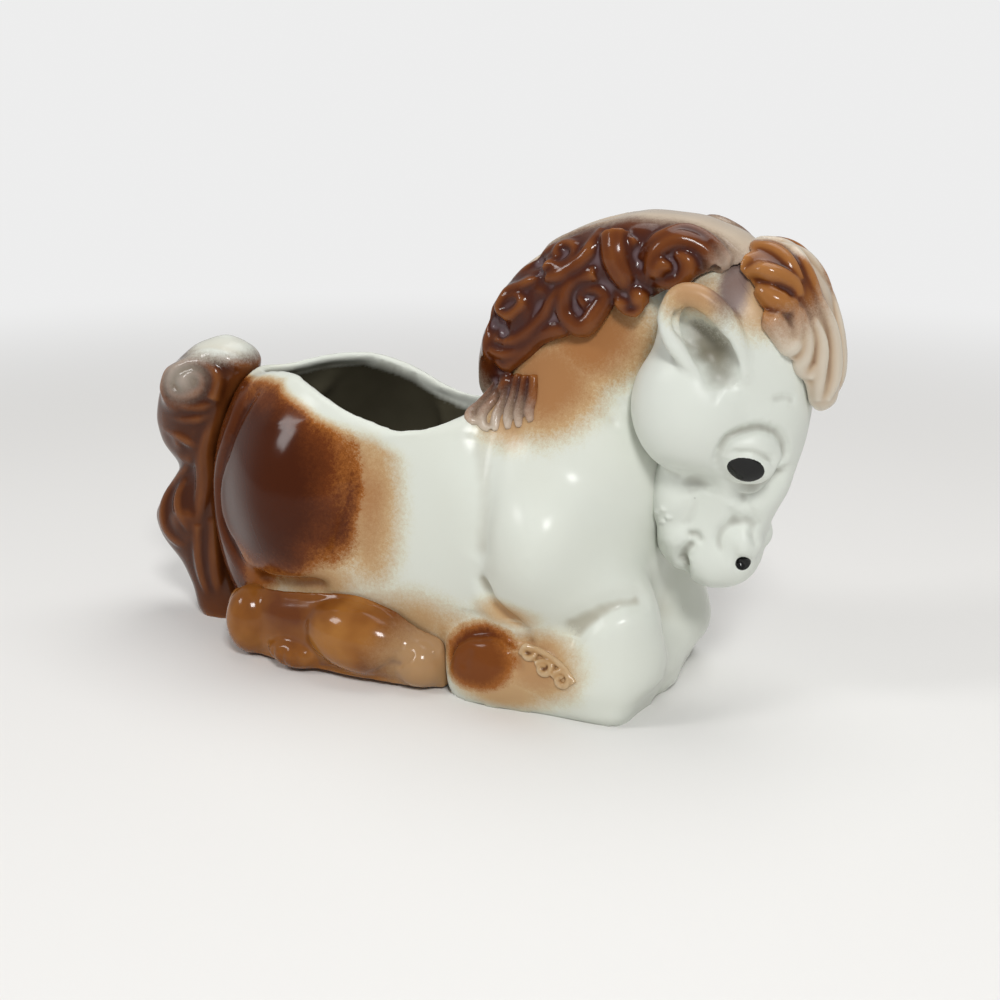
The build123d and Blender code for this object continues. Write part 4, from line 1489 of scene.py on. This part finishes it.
# %% Glazes, bodies and nodes
dressing = {
    casting: (body_glaze, "cream_glaze", "body_vessel"),
    head: (head_glaze, "cream_glaze", "head"),
    mane: (mane_glaze, "brown_glaze", "mane"),
    forelock: (forelock_glaze, "brown_glaze", "forelock"),
    tail: (tail_glaze, "brown_glaze", "tail"),
}
for _, word in reversed(SIDES):
    dressing[forelegs[word]] = (foreleg_glaze, "cream_glaze", f"foreleg_{word}")
    dressing[fetlocks[word]] = (feather_glaze, "cream_glaze", f"foreleg_{word}")
    dressing[hind_legs[word]] = (amber_glaze, "amber_glaze", f"hind_leg_{word}")
    dressing[ears[word]] = (head_glaze, "cream_glaze", f"ear_{word}")
for piece, (material, slot, node) in dressing.items():
    piece.data.materials.clear()
    piece.data.materials.append(material)
    select_only(piece)
    bpy.ops.object.shade_smooth_by_angle(angle=math.radians(60))
    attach(piece, "root")
    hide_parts(node)
print(len(dressing), "pieces dressed")

# %% [markdown]
# ## Floor, light and camera
#
# The pony was photographed by a window, so one lamp is the window, a weaker one opens the shadows
# and a large one stands for the ceiling. A curved backdrop would do for the background too. A
# plain floor whose far part glows for the camera alone gives the same white and keeps the shadow.


# %% Floor
def rays_that_look(t):
    """1 for camera rays, less for reflected ones, and 0 for rays that light things."""
    rays = t.node("ShaderNodeLightPath").outputs
    reflected = t.most(rays["Is Glossy Ray"], rays["Is Transmission Ray"])
    return t.most(rays["Is Camera Ray"], t.times(reflected, 0.3))


GLOW_START, GLOW_FULL = 0.28, 0.75

select_only()
bpy.ops.mesh.primitive_plane_add(size=6, location=(0, 0, 0))
floor = bpy.context.object
floor.name = "studio_floor"
floor_paint = bpy.data.materials.new("pale_floor")
floor_paint.use_nodes = True
nodes = floor_paint.node_tree.nodes
t = Tree(floor_paint.node_tree)
shader = nodes["Principled BSDF"]
shader.inputs["Base Color"].default_value = (0.80, 0.79, 0.77, 1)
shader.inputs["Roughness"].default_value = 0.8
from_middle = t.vector("LENGTH", t.place())
far = t.times(t.smooth(from_middle, GLOW_START, GLOW_FULL), rays_that_look(t))
glow = t.node("ShaderNodeEmission")
glow.inputs["Color"].default_value = (1, 1, 1, 1)
glow.inputs["Strength"].default_value = 0.85
blend = t.node("ShaderNodeMixShader")
for socket, source in zip(blend.inputs, (far, shader.outputs[0], glow.outputs[0])):
    t.link(source, socket)
t.link(blend.outputs[0], nodes["Material Output"].inputs["Surface"])
floor.data.materials.append(floor_paint)
print("floor laid")

# %% World
SKY_LIGHT, BACKGROUND_GLOW = 0.25, 0.60

world = bpy.data.worlds.new("studio")
bpy.context.scene.world = world
world.use_nodes = True
t = Tree(world.node_tree)
background = world.node_tree.nodes["Background"]
background.inputs["Color"].default_value = (1, 1, 1, 1)
light = t.plus(t.times(rays_that_look(t), BACKGROUND_GLOW), SKY_LIGHT)
t.link(light, background.inputs["Strength"])
print("world light", SKY_LIGHT, "and", SKY_LIGHT + BACKGROUND_GLOW, "for the camera")


# %% Lamps
def lamp(name, place, aim, size, power):
    """A square studio lamp at a place, aimed at a point, in metres."""
    bpy.ops.object.light_add(type="AREA", location=place)
    light = bpy.context.object
    light.name = name
    light.data.size = size
    light.data.energy = power
    light.rotation_euler = (Vector(aim) - Vector(place)).to_track_quat("-Z", "Y").to_euler()
    print(name, power, "W")


lamp("window_key", (0.50, -0.75, 0.80), (0.03, 0, 0.06), 0.22, 6.9)
lamp("window_fill", (-0.65, -0.60, 0.70), (0, 0, 0.05), 0.25, 2.7)
lamp("ceiling", (0.15, 0.35, 1.25), (0, 0, 0.05), 0.9, 7.2)

# %% Camera
CAMERA_PLACE = (0.192, -0.363, 0.162)
CAMERA_PITCH, CAMERA_YAW = 74, 25.1
LENS = 54

bpy.ops.object.camera_add(location=CAMERA_PLACE)
camera = bpy.context.object
camera.name = "photo_camera"
camera.rotation_euler = (math.radians(CAMERA_PITCH), 0, math.radians(CAMERA_YAW))
camera.data.sensor_width = 36
camera.data.lens = LENS
camera.data.clip_start = 0.01
bpy.context.scene.camera = camera
bpy.context.scene.view_settings.view_transform = "Standard"
print("camera with a", LENS, "mm lens")
